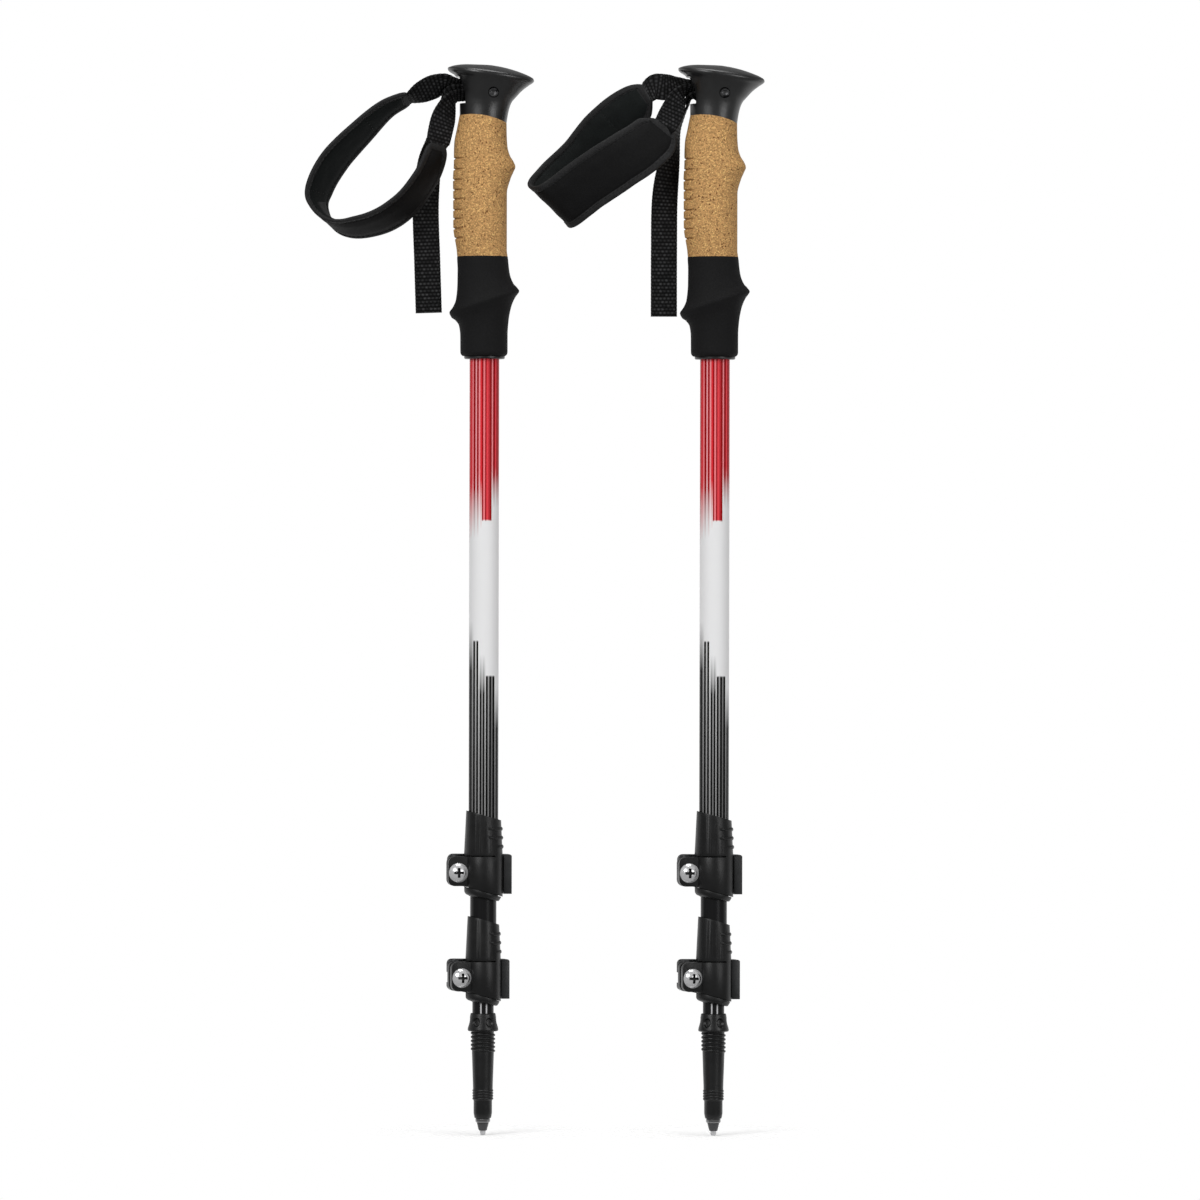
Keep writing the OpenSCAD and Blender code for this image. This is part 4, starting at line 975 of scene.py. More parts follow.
def thread_tree():
    """Winds a rounded screw thread up a stem."""
    inputs = {
        "Stem": ("Geometry",),
        "Turns": ("Float", 4.0),
        "Radius": ("Float", 0.007),
        "Height": ("Float", 0.01),
        "Ridge": ("Float", 0.0007),
        "Foot": ("Vector",),
        "Plastic": ("Material",),
    }
    tree, given, out = new_group("Basket thread", "Geometry", inputs, {"Thread": "Geometry"})
    path = {"Resolution": 72, "Rotations": given["Turns"], "Height": given["Height"]}
    path |= {"Start Radius": given["Radius"], "End Radius": given["Radius"]}
    wind = put(tree, "GeometryNodeCurveSpiral", path).outputs[0]
    circle = {"Resolution": 12, "Radius": given["Ridge"]}
    ridge = put(tree, "GeometryNodeCurvePrimitiveCircle", circle, mode="RADIUS").outputs[0]
    swept = {"Curve": wind, "Profile Curve": ridge, "Fill Caps": True}
    wound = put(tree, "GeometryNodeCurveToMesh", swept).outputs[0]
    stood = put(tree, "GeometryNodeTransform", {"Geometry": wound, "Translation": given["Foot"]}).outputs[0]
    both = put(tree, "GeometryNodeJoinGeometry").inputs[0]
    tree.links.new(stood, both)
    tree.links.new(given["Stem"], both)
    return end_tree(tree, both.node.outputs[0], given["Plastic"], out)


def grow(piece, tree, **inputs):
    """Runs a geometry node tree on a piece once and keeps the plain mesh."""
    modifier = piece.modifiers.new(tree.name, "NODES")
    modifier.node_group = tree
    for socket in tree.interface.items_tree:
        if socket.in_out == "INPUT" and socket.name in inputs:
            modifier[socket.identifier] = inputs[socket.name]
    return settle(piece)


# Grips


def grip_piece(name, grip, x0, material, shape=None):
    """A grip through its outline. shape, if given, moves a point in millimetres: shape(x, y, z, share)."""
    rings, lengths = [], []
    for i in range(grip.rings + 1):
        share = grip.rows[-1][0] * i / grip.rings
        _, front, back, side, slope = row_at(grip.rows, share)
        level = grip.foot + share * grip.height
        ring = []
        for a in angles(grip.sides):
            x = (CORE_R + (front if math.cos(a) > 0 else back)) * math.cos(a)
            y = (CORE_R + side) * math.sin(a)
            z = level - slope * x
            if shape:
                x, y, z = shape(x, y, z, share)
            ring.append(Vector((x0 + x * MM, y * MM, z * MM)))
        rings.append(ring)
        lengths.append(level * MM)
    return shell(name, rings, [material], lengths)


def groove_at(x, y, z):
    """How deep in a finger groove a place on the cork is, from 0 to 1, in millimetres from the axis."""
    reach = smooth_step(GROOVE_START, GROOVE_FULL, x / math.hypot(x, y)) if x < 0 else 0
    half = sizes().groove_width / MM
    return reach * max(bell(z - groove, half) for groove in GROOVES)


def bowed(x, weight):
    """How far the bow lifts the joint between head and cork, most in the middle, in millimetres."""
    return BOW * (BOW_HALF**2 - min(x * x, BOW_HALF**2)) * weight


def box_helper(name, low, high):
    """A plain box between two corners in millimetres, used to cut."""
    corners = [(x, y, z) for x in (low[0], high[0]) for y in (low[1], high[1]) for z in (low[2], high[2])]
    verts = [Vector(c) * MM for c in corners]
    faces = [(0, 1, 3, 2), (4, 6, 7, 5), (0, 4, 5, 1), (2, 3, 7, 6), (0, 2, 6, 4), (1, 5, 7, 3)]
    helper = new_piece(name, verts, faces, [])
    close_shell(helper)
    return helper


def rod_helper(name, x, z, radius, y0, y1):
    """A round bar along Y, in millimetres, used to cut."""
    ring = [(radius * math.cos(a), radius * math.sin(a)) for a in angles(48)]
    rings = [[Vector((x + u, y, z + v)) * MM for u, v in ring] for y in (y0, y1)]
    return shell(name, rings, [])


class PoleOperator:
    """Shared settings of the operators."""

    bl_options = {"REGISTER", "UNDO"}


class POLES_OT_heads(PoleOperator, bpy.types.Operator):
    """Flared grip heads with the strap slot, the strap screw and its wedge"""

    bl_idname = "poles.heads"
    bl_label = "Grip heads"

    def execute(self, context):
        own = colours()
        black = scaled(own.moulding, 0.85)
        plastic = moulded("Head plastic", black, 0.32, grain=0.00045, depth=3.4e-5, shine=0.62)
        steel = metal("Blackened screw", (0.012, 0.012, 0.013), 0.5)
        # Paler metal on the screw's socket and centre, a painted highlight
        socket_highlight = metal("Socket painted highlight", (0.075, 0.075, 0.077), 0.38)
        inner = moulded("Wedge plastic", scaled(own.moulding, 0.8), 0.55)
        room = Vector((1, 1, 1)) * SLOT_ROOM
        # The left pole's axis is the origin, so its wedge gives the slot of both heads
        slot_low, slot_high = (Vector(corner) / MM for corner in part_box("left_strap_wedge"))

        def bow_foot(x, y, z, share):
            return x, y, z + bowed(x, 1 - smooth_step(0, 0.45, share))

        for side in SIDES:
            x0 = axis_x(side)
            head = grip_piece(side + "_head", HEAD, x0, plastic, bow_foot)
            at = Vector((x0 / MM, 0, 0))
            low, high = at + slot_low - room, at + slot_high + room
            low.x = at.x - CLEAR_OF_HEAD
            cut_away(head, box_helper("slot", low, high))
            screw_low, screw_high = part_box(side + "_strap_screw")
            at_x, _, at_z = (screw_low + screw_high) / 2 / MM
            cut_away(head, rod_helper("recess", at_x, at_z, SCREW_RECESS_R, -CLEAR_OF_HEAD, RECESS_END))
            crease(head, 40)
            dress(head, side + "_pole", "head_plastic", side + "_grip_head")
            screw = rounded_copy(side + "_strap_screw", side + "_socket_screw", [steel, socket_highlight], 0.00025)
            # Faces round the middle of the screw take the paler metal as a painted highlight
            for face in screw.data.polygons:
                if math.hypot(face.center.x / MM - at_x, face.center.z / MM - at_z) < SOCKET_R:
                    face.material_index = 1
            dress(screw, side + "_pole", "dark_steel", side + "_strap_screw")
            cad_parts[side + "_strap_wedge"].data.materials[0] = inner
        return {"FINISHED"}


class POLES_OT_grips(PoleOperator, bpy.types.Operator):
    """Cork grips with finger grooves, foam grips and the ring under them"""

    bl_idname = "poles.grips"
    bl_label = "Cork and foam"

    def execute(self, context):
        own = colours()
        cork, foam = cork_material(), foam_material()
        ring = moulded("End ring plastic", own.moulding, 0.3)
        deep = sizes().groove_depth / MM

        def grooved(x, y, z, share):
            shrink = 1 - deep * groove_at(x, y, z) / math.hypot(x, y)
            return x * shrink, y * shrink, z + bowed(x, smooth_step(0.72, 1, share))

        for side in SIDES:
            x0 = axis_x(side)
            grip = grip_piece(side + "_cork", CORK, x0, cork, grooved)
            crease(grip, 45)
            # How deep each place lies in a finger groove, kept for the cork material to paint shade into the
            # grooves
            marks = grip.data.attributes.new("groove", "FLOAT", "POINT")
            for mark, vert in zip(marks.data, grip.data.vertices):
                mark.value = groove_at((vert.co.x - x0) / MM, vert.co.y / MM, vert.co.z / MM)
            dress(grip, side + "_pole", "cork", side + "_cork_grip")
            pad = grip_piece(side + "_foam", FOAM, x0, foam)
            crease(pad, 45)
            dress(pad, side + "_pole", "foam", side + "_foam_grip")
            low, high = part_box(side + "_grip_end_ring")
            out, z0, z1 = (high.x - low.x) / 2 / MM, low.z / MM, high.z / MM
            profile = [(END_RING_BORE, z0), (out - END_RING_FOOT, z0), (out, z0 + END_RING_FOOT)]
            profile += [(out, z1 - END_RING_TOP), (out - END_RING_TOP, z1), (END_RING_BORE, z1)]
            lip = turned(side + "_end_ring", profile, x0, [ring], closed=True)
            crease(lip)
            dress(lip, side + "_pole", "head_plastic", side + "_grip_end_ring")
        return {"FINISHED"}


# Tubes


class POLES_OT_tubes(PoleOperator, bpy.types.Operator):
    """Printed upper tubes, black middle and lower tubes and their guides"""

    bl_idname = "poles.tubes"
    bl_label = "Tubes"

    def execute(self, context):
        finishes = {
            "upper": (printed_tube(), "pole", "printed_tube"),
            "middle": (black_tube("Black tube"), "middle", "black_tube"),
            "lower": (black_tube("Lined tube", WHITE_LINES), "lower", "black_tube"),
        }
        guide = moulded("Guide plastic", (0.03, 0.03, 0.031), 0.5)
        for side in SIDES:
            x0 = axis_x(side)
            for section, (material, body, slot) in finishes.items():
                node = side + "_" + section + "_shaft"
                low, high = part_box(node)
                out, z0, z1 = (high.x - low.x) / 2 / MM, low.z / MM, high.z / MM
                bore = out - TUBE_WALL
                profile = [(bore, z0), (out - TUBE_EDGE, z0), (out, z0 + TUBE_EDGE)]
                profile += [(out, z0 + (z1 - z0) * k / TUBE_STEPS) for k in range(1, TUBE_STEPS)]
                profile += [(out, z1 - TUBE_EDGE), (out - TUBE_EDGE, z1), (bore, z1)]
                tube = turned(side + "_" + section + "_tube", profile, x0, [material], 128, closed=True)
                crease(tube)
                dress(tube, side + "_" + body, slot, node)
            for name in ("_middle_guide", "_lower_guide"):
                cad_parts[side + name].data.materials[0] = guide
        return {"FINISHED"}


# Clamps


class ClampPlace:
    """Where a clamp sits on its pole, in millimetres."""

    def __init__(self, side, level):
        self.x0, self.turn, self.r = axis_x(side) / MM, math.radians(CLAMP_TURN[level]), BAND_R[level]
        self.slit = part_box(side + "_" + level + "_clamp_body")[0].z / MM + BAND_H + self.r * BAND_SLOPE

    def round_lip(self, work):
        """Rounds the outer edge under a liner's lip, along its slope, and brings its top up to the band."""
        slope = Vector((math.cos(self.turn) * LIP_SLOPE, math.sin(self.turn) * LIP_SLOPE, 1))
        foot = Vector((self.x0, 0, self.slit - BAND_H - LIP_DROP)) * MM
        for k in range(1, LIP_CUTS + 1):
            rise = Vector((0, 0, LIP_ROUND * (1 - math.cos(k * math.pi / 2 / LIP_CUTS)))) * MM
            whole = work.verts[:] + work.edges[:] + work.faces[:]
            bmesh.ops.bisect_plane(work, geom=whole, plane_co=foot + rise, plane_no=slope)
        for vert in work.verts:
            off = (vert.co - foot) / MM
            under = LIP_ROUND - min(max(off.dot(slope), 0), LIP_ROUND)
            most = self.r - LIP_INSET - LIP_ROUND + math.sqrt(LIP_ROUND**2 - under**2)
            reach = math.hypot(off.x, off.y)
            if under and reach > most:
                vert.co.x -= off.x * (1 - most / reach) * MM
                vert.co.y -= off.y * (1 - most / reach) * MM
            across = off.x * math.cos(self.turn) + off.y * math.sin(self.turn)
            from_top = off.z - LIP_DROP + LIP_GAP + across * BAND_SLOPE
            if reach > self.r - LIP_ROUND + 0.5 and abs(from_top) < 0.1:
                vert.co.z += (LIP_GAP - LIP_SEAM) * MM

    def ridges(self, name, material):
        """Ribs that run out over the front of the sleeve, a little lower towards the side."""
        verts, faces = [], []
        arc = [math.pi * k / 8 for k in range(9)]
        for height in RIB_HEIGHTS:
            rings = []
            for share in (k / 24 for k in range(25)):
                a = math.radians(RIB_RUN * share + RIB_START) + self.turn
                proud = RIB_PROUD * smooth_step(0, RIB_UP_AT, share) - RIB_SINK
                z = height + RIB_RISE - RIB_DROP * share
                r = self.r - SLEEVE_TAPER * z
                section = [(RIB_HALF * math.cos(b), proud * math.sin(b)) for b in arc]
                section += [(-RIB_HALF, -RIB_ROOT), (RIB_HALF, -RIB_ROOT)]
                way = Vector((math.cos(a), math.sin(a), 0))
                foot = Vector((self.x0, 0, self.slit + z))
                rings.append([(foot + way * (r + out) + Vector((0, 0, up))) * MM for up, out in section])
            more, rib, _ = skin(rings)
            faces += [tuple(k + len(verts) for k in face) for face in rib]
            verts += more
        piece = new_piece(name, verts, faces, [material])
        close_shell(piece)
        crease(piece, 50)
        return piece


class POLES_OT_clamps(PoleOperator, bpy.types.Operator):
    """Lever clamps with rounded edges, their barrels and cross-recess screws"""

    bl_idname = "poles.clamps"
    bl_label = "Lever clamps"

    def execute(self, context):
        own = colours()
        edge = sizes().edge_round
        plastic = moulded("Clamp plastic", scaled(own.moulding, 0.85), 0.37, shine=0.3)
        liner = moulded("Liner plastic", own.moulding, 0.42)
        lever = moulded("Lever plastic", own.lever, 0.4)
        steel = metal("Plain steel", (0.5, 0.5, 0.51), 0.34)
        chrome = metal("Bright plating", own.chrome, 0.16, bare=0.5)
        # Dark metal painted into the screws' cross recesses as shade
        shade = metal("Screw recess painted shade", (0.03, 0.03, 0.031), 0.5)
        pieces = {
            "body": (plastic, edge, "clamp_plastic"),
            "liner": (liner, edge, "clamp_plastic"),
            "lever": (lever, edge, "lever_plastic"),
            "barrel": (steel, edge * 0.4, "plain_steel"),
            "screw": (chrome, edge * 0.4, "bright_steel"),
        }
        for side in SIDES:
            for level, below in (("upper", "pole"), ("lower", "middle")):
                bodies = {"lever": level + "_lever", "screw": level + "_screw"}
                clamp = ClampPlace(side, level)
                for part, (material, soft, slot) in pieces.items():
                    node = side + "_" + level + "_clamp_" + part
                    shape = clamp.round_lip if part == "liner" else None
                    piece = rounded_copy(node, node + "_look", [material], soft, shape=shape)
                    if part == "screw":
                        self.darken_recess(piece, node, CLAMP_TURN[level], shade)
                    dress(piece, side + "_" + bodies.get(part, below), slot, node)
                ribs = clamp.ridges(side + "_" + level + "_clamp_ribs", plastic)
                dress(ribs, side + "_" + below, "clamp_plastic")
        return {"FINISHED"}

    def darken_recess(self, piece, node, turn, shade):
        """Paints the walls and floor of a screw's cross recess dark, as painted shade."""
        piece.data.materials.append(shade)
        low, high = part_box(node)
        axis = Vector((-math.sin(math.radians(turn)), math.cos(math.radians(turn)), 0))
        front = min(vert.co.dot(axis) for vert in piece.data.vertices)
        for face in piece.data.polygons:
            depth = (face.center.dot(axis) - front) / MM
            off = face.center - (low + high) / 2
            reach = (off - axis * off.dot(axis)).length / MM
            wall = abs(face.normal.dot(axis)) < 0.5 and depth < RECESS_H + 0.1
            bottom = RECESS_H / 2 < depth < RECESS_H + 0.1
            if reach < RECESS_REACH and (wall or bottom):
                face.material_index = 1


# Tips


class POLES_OT_tips(PoleOperator, bpy.types.Operator):
    """Tip ferrules with dimples, basket thread and ribs, and the steel tips"""

    bl_idname = "poles.tips"
    bl_label = "Tips"

    def execute(self, context):
        own = colours()
        black = scaled(own.moulding, 0.85)
        plastic = moulded("Tip plastic", black, 0.34, grain=0.0006, depth=4e-5, shine=0.36)
        bright = metal("Bright ring", scaled(own.chrome, 0.3), 0.12)
        dark = metal("Tip steel", (0.085, 0.085, 0.087), 0.36, streak=(300, 300, 2600))
        hard = metal("Carbide", (0.55, 0.55, 0.56), 0.3)
        thread = shared("Basket thread", thread_tree)
        steels = (
            ("_ring", RING_OUTLINE, bright, 20, 12, "bright_steel", "_tip_ring"),
            ("_cone", HOLDER_OUTLINE, dark, 96, 40, "dark_steel", "_tip_holder"),
            ("_point", POINT_OUTLINE, hard, 64, 40, "plain_steel", "_carbide_tip"),
        )
        for side in SIDES:
            x0 = axis_x(side)
            ferrule = self.ferrule(side, x0, plastic)
            grow(
                ferrule,
                thread,
                Turns=sizes().thread_turns,
                Radius=THREAD_R * MM,
                Height=THREAD_H * MM,
                Ridge=THREAD_RIDGE * MM,
                Foot=(x0, 0, THREAD_FOOT * MM),
                Plastic=plastic,
            )
            crease(ferrule, 38)
            dress(ferrule, side + "_lower", "tip_plastic", side + "_tip_ferrule")
            for name, outline, material, sides, sharp, slot, node in steels:
                bored = outline is not POINT_OUTLINE
                piece = turned(side + name, outline, x0, [material], sides, closed=bored)
                crease(piece, sharp)
                dress(piece, side + "_lower", slot, side + node)
        return {"FINISHED"}

    def ferrule(self, side, x0, plastic):
        """Nose, ribbed ring, stem, thread core and dimpled collar, open for the tube."""
        outline = list(NOSE_OUTLINE)
        for k in range(TIP_RIBS):
            foot = TIP_RIB_FOOT + TIP_RIB_PITCH * k
            outline += [(TIP_RIB_R - inset, foot + up) for inset, up in TIP_RIB]
        outline += STEM_OUTLINE + straight(STEM_FOOT, STEM_TOP, STEM_STEPS)[1:]
        outline += COLLAR_START + straight(COLLAR_LOW, COLLAR_HIGH, COLLAR_STEPS) + COLLAR_END
        piece = turned(side + "_ferrule", outline, x0, [plastic], 192, closed=True)
        step = 2 * math.pi / DIMPLES
        for vert in piece.data.vertices:
            x, y, z = (vert.co.x - x0) / MM, vert.co.y / MM, vert.co.z / MM
            r = math.hypot(x, y)
            if r < COLLAR_R or z < COLLAR_FOOT:
                continue
            off = (math.atan2(x, -y) / step) % 1 - 0.5
            away = math.hypot(off * step * r, (z - DIMPLE_Z) * DIMPLE_SQUEEZE)
            push = DIMPLE_DEPTH * (1 - smooth_step(*DIMPLE_END, away)) / r
            vert.co.x -= x * push * MM
            vert.co.y -= y * push * MM
        return piece


# Straps


# A place along a strap: its spot, the way across, the way out of the face, share of the width, length so far
Station = namedtuple("Station", "spot wide out share length")


def strap_route(side, rows, steps):
    """Stations along a route, in metres."""
    start = Vector((axis_x(side) / MM + MOUTH[0], MOUTH[1], MOUTH[2]))
    points = spline(rows, steps)
    spots = [(start + Vector(p[:3])) * MM for p in points]
    stations, length = [], 0.0
    for i, (spot, row) in enumerate(zip(spots, points)):
        tangent = (spots[min(i + 1, len(spots) - 1)] - spots[max(i - 1, 0)]).normalized()
        width = Vector(row[3:6])
        across = (width - tangent * tangent.dot(width)).normalized()
        if i:
            length += (spot - spots[i - 1]).length
        stations.append(Station(spot, across, tangent.cross(across), row[6], length))
    return stations


def even_stations(stations, step):
    """The same route, cut into even steps of its length."""
    total = stations[-1].length
    count = max(2, round(total / step))
    out, i = [], 0
    for k in range(count + 1):
        want = total * k / count
        while i < len(stations) - 2 and stations[i + 1].length < want:
            i += 1
        a, b = stations[i], stations[i + 1]
        t = (want - a.length) / (b.length - a.length)
        wide, face = a.wide.lerp(b.wide, t).normalized(), a.out.lerp(b.out, t).normalized()
        out.append(Station(a.spot.lerp(b.spot, t), wide, face, a.share + t * (b.share - a.share), want))
    return out


def tucked_in(rows, end, beyond):
    """A leaf's route, run on into the pad, whose two nearest rows are given."""
    same = math.copysign(1, Vector(rows[-1][3:6]).dot(Vector(end[3:6])))
    more = []
    for share, width in TUCKED:
        row = [a + share * (b - a) for a, b in zip(end[:6], beyond[:6])]
        more.append((*row[:3], *[same * w for w in row[3:]], width))
    return rows + more


def webbing_band(name, stations, material, doubled=0.0):
    """A band of webbing with raised cross ribs. The last stretch may be folded double."""
    half_w, half_t = sizes().strap_width / 2, sizes().strap_thickness / 2
    pitch = sizes().rib_pitch
    fold_at = stations[-1].length - doubled
    flat = [1, 0.97, 0.9, 0.8, 0.6, 0.4, 0.2, 0]
    across = flat + [-f for f in flat[-2::-1]]
    places = [(s, 1) for s in across] + [(s, -1) for s in reversed(across)]
    rings, lengths = [], []
    for spot, wide, out, share, length in even_stations(stations, pitch / 9):
        rib = abs(math.sin(math.pi * length / pitch)) ** 0.7
        fold = smooth_step(fold_at + FOLD_START, fold_at + FOLD_STOP, length) if doubled else 0
        w = half_w * share - (1 - rib) * WEB_NOTCH
        t = half_t * (1 + FOLD_UP * fold) - (1 - rib) * WEB_DIP
        ring = []
        for s, face in places:
            edge = math.sqrt(max(0, 1 - max(0, (abs(s) - WEB_ROUND) / (1 - WEB_ROUND)) ** 2))
            ring.append(spot + wide * (s * w) + out * (face * t * (WEB_EDGE + (1 - WEB_EDGE) * edge)))
        rings.append(ring)
        lengths.append(length)
    return shell(name, rings, [material], lengths)


def pad_height(d, top, binding):
    """Half height of a pad at a distance from its edge: rolled binding, seam groove, then padded crown."""
    roll = math.sqrt(max(0, 1 - max(0, 1 - d / EDGE_ROLL) ** 2))
    crown = (top - EDGE_UP) * smooth_step(binding, binding + CROWN_RUN, d)
    groove = GROOVE_DEEP * bell(d - binding, GROOVE_HALF)
    return EDGE_UP * roll + crown - groove


class PadShape:
    """A hand pad laid along its route: where its surface is, and how far any place is from its edge."""

    def __init__(self, side):
        self.stations = even_stations(strap_route(side, PAD_ROUTE[side], PAD_ROUTE_STEPS), PAD_STEP)
        self.total = self.stations[-1].length
        self.inner, self.end_round = INNER_FACE[side], END_ROUND[side]
        self.binding = sizes().binding_width

    def end(self, i):
        """Distance from the nearer end."""
        return min(self.stations[i].length, self.total - self.stations[i].length)

    def half(self, i):
        """Half width, with rounded ends and slightly wavy edges."""
        here = self.stations[i]
        left = max(0, 1 - self.end(i) / self.end_round)
        wave = 1 + EDGE_WAVE * noise.noise(here.spot * EDGE_WAVES)
        rounded = END_SHARE + (1 - END_SHARE) * math.sqrt(1 - left * left)
        return sizes().pad_width / 2 * here.share * wave * rounded

    def edge(self, i, s):
        """Distance from the edge, at a share s of the half width."""
        return min((1 - abs(s)) * self.half(i), self.end(i) + 0.00002)

    def lift(self, i, s, face):
        """Height of a face over the pad's middle layer, with puckers at the seams and soft creases."""
        spot, wide, _, _, length = self.stations[i]
        d = self.edge(i, s)
        height = pad_height(d, sizes().pad_thickness / 2, self.binding)
        near_seam = bell(d - self.binding, PUCKER_HALF)
        pucker = math.sin(2 * math.pi * length / sizes().stitch_pitch) * near_seam
        place_on = spot + wide * (s * self.half(i))
        fold = noise.noise(place_on * CREASES + Vector((0, 0, 9 * face))) * smooth_step(*CREASE_RUN, d)
        depth, seam = CLOTH_CREASE, 0
        if face == self.inner:
            depth, seam = LINING_CREASE, sum(bell(length - at, CROSS_HALF) for at in CROSS_SEAMS)
        return height + PUCKER_UP * pucker + depth * fold - CROSS_DEEP * seam * smooth_step(*CROSS_RUN, d)

    def point(self, i, s, face, above=0.0):
        """A place on a face, or above it."""
        spot, wide, out, _, _ = self.stations[i]
        return spot + wide * (s * self.half(i)) + out * (face * (self.lift(i, s, face) + above))

    def line(self, i, reach, steps, face, above):
        """A line straight across a face, to a share of the half width on both sides."""
        return [self.point(i, reach * k / steps, face, above) for k in range(-steps, steps + 1)]

    def seams(self):
        """Stitch lines on both faces just inside the binding, round the ends, and across the lining."""
        inset = self.binding - STITCH_INSET
        inside = [i for i in range(len(self.stations)) if self.end(i) >= inset]
        lines = []
        for face in (1, -1):
            for edge in (1, -1):
                shares = (edge * (1 - inset / self.half(i)) for i in inside)
                lines.append([self.point(i, s, face, STITCH_UP) for i, s in zip(inside, shares)])
            for i in (inside[0], inside[-1]):
                lines.append(self.line(i, 1 - inset / self.half(i), 8, face, STITCH_UP))
        for at in CROSS_SEAMS:
            i = min(range(len(self.stations)), key=lambda k: abs(self.stations[k].length - at))
            lines.append(self.line(i, 1 - self.binding / self.half(i), 10, self.inner, CROSS_STITCH_UP))
        return lines


def padded_band(name, shape, materials):
    """A hand pad with bound edges. Its inside takes the lining, its outside the cloth."""
    shares = [0, 0.012, 0.035, 0.07, 0.13, 0.2, 0.225, 0.25, 0.27]
    shares += [0.29, 0.32, 0.37, 0.44, 0.52, 0.62, 0.74, 0.87, 1]
    across = [1 - d for d in shares] + [d - 1 for d in shares[-2::-1]]
    places = [(s, 1) for s in across[:-1]] + [(s, -1) for s in across[:0:-1]]
    rings = [[shape.point(i, s, face) for s, face in places] for i in range(len(shape.stations))]
    slots = []
    for i in range(len(rings) - 1):
        for k, (s, face) in enumerate(places):
            middle = (s + places[(k + 1) % len(places)][0]) / 2
            bound = shape.edge(i, middle) < shape.binding
            slots.append(1 if bound else 2 if face == shape.inner else 0)
    return shell(name, rings, materials, [here.length for here in shape.stations], slots + [1, 1])


def sewn_patch(name, shape, material):
    """A plain rectangular patch on the lining."""
    rings, lengths = [], []
    for i, here in enumerate(shape.stations):
        if not PATCH_START <= here.length <= PATCH_STOP:
            continue
        reach = PATCH_HALF / shape.half(i)
        heights = (PATCH_EDGE, PATCH_UP, -PATCH_UP)
        low, high, under = (shape.line(i, reach, 8, shape.inner, above) for above in heights)
        rings.append(low[:1] + high[1:-1] + low[-1:] + under[::-1])
        lengths.append(here.length)
    patch = shell(name, rings, [material], lengths)
    crease(patch, 50)
    return patch


def line_piece(name, lines):
    """Loose edges for stitches to follow."""
    verts = [p for line in lines for p in line]
    edges, at = [], 0
    for line in lines:
        edges += [(at + i, at + i + 1) for i in range(len(line) - 1)]
        at += len(line)
    mesh = bpy.data.meshes.new(name)
    mesh.from_pydata([tuple(v) for v in verts], edges, [])
    piece = bpy.data.objects.new(name, mesh)
    bpy.context.scene.collection.objects.link(piece)
    return piece


def cross_seams(stations, lengths, half_w, half_t):
    """Stitch lines straight across both faces of a band, at lengths along it."""
    lines = []
    for want in lengths:
        spot, wide, out, _, _ = min(stations, key=lambda here: abs(here.length - want))
        for face in (1, -1):
            lines.append([spot + wide * (half_w * k / 6) + out * (face * half_t) for k in range(-6, 7)])
    return lines


class POLES_OT_straps(PoleOperator, bpy.types.Operator):
    """Wrist straps: ribbed webbing, free tails, padded loops and their stitching"""

    bl_idname = "poles.straps"
    bl_label = "Wrist straps"

    def execute(self, context):
        own, size = colours(), sizes()
        web = woven("Webbing", own.webbing)
        faces = [
            cloth("Pad cloth", own.pad_cloth, 0.0008, 0.74),
            cloth("Pad binding", own.binding, 0.0006, 0.62),
            cloth("Pad lining", own.pad_lining, 0.0005, 0.85, depth=4e-5),
        ]
        thread = cloth("Sewing thread", scaled(own.binding, 0.7), 0.0003, 0.5)
        stitches = shared("Row of stitches", stitch_tree)
        for side in SIDES:
            body = side + "_strap"
            shape = PadShape(side)
            pad = padded_band(side + "_pad", shape, faces)
            dress(pad, body, "pad_fabric", side + "_strap_pad")
            dress(sewn_patch(side + "_patch", shape, faces[1]), body, "pad_fabric")
            upper, lower = LEAF_ROUTES[side]
            ends = PAD_ROUTE[side]
            leaves = (
                ("_upper_leaf", tucked_in(upper, ends[0], ends[1]), [side + "_strap_webbing"]),
                ("_lower_leaf", tucked_in(lower, ends[-1], ends[-2]), []),
            )
            for name, rows, nodes in leaves:
                leaf = webbing_band(side + name, strap_route(side, rows, ROUTE_STEPS), web)
                dress(leaf, body, "web_fabric", *nodes)
            route = strap_route(side, TAIL_ROUTE[side], ROUTE_STEPS)
            tail = webbing_band(side + "_tail", route, web, TAIL_FOLD)
            dress(tail, body, "web_fabric", side + "_strap_tail")
            at = [route[-1].length - back for back in TAIL_SEAMS]
            bars = cross_seams(route, at, TAIL_SEAM_HALF, size.strap_thickness * 0.92)
            seams = line_piece(side + "_stitching", shape.seams() + bars)
            grow(
                seams,
                stitches,
                Pitch=size.stitch_pitch,
                Length=size.stitch_length,
                Thickness=size.stitch_thickness,
                Thread=thread,
            )
            dress(seams, body, "web_fabric")
        return {"FINISHED"}


# Stage


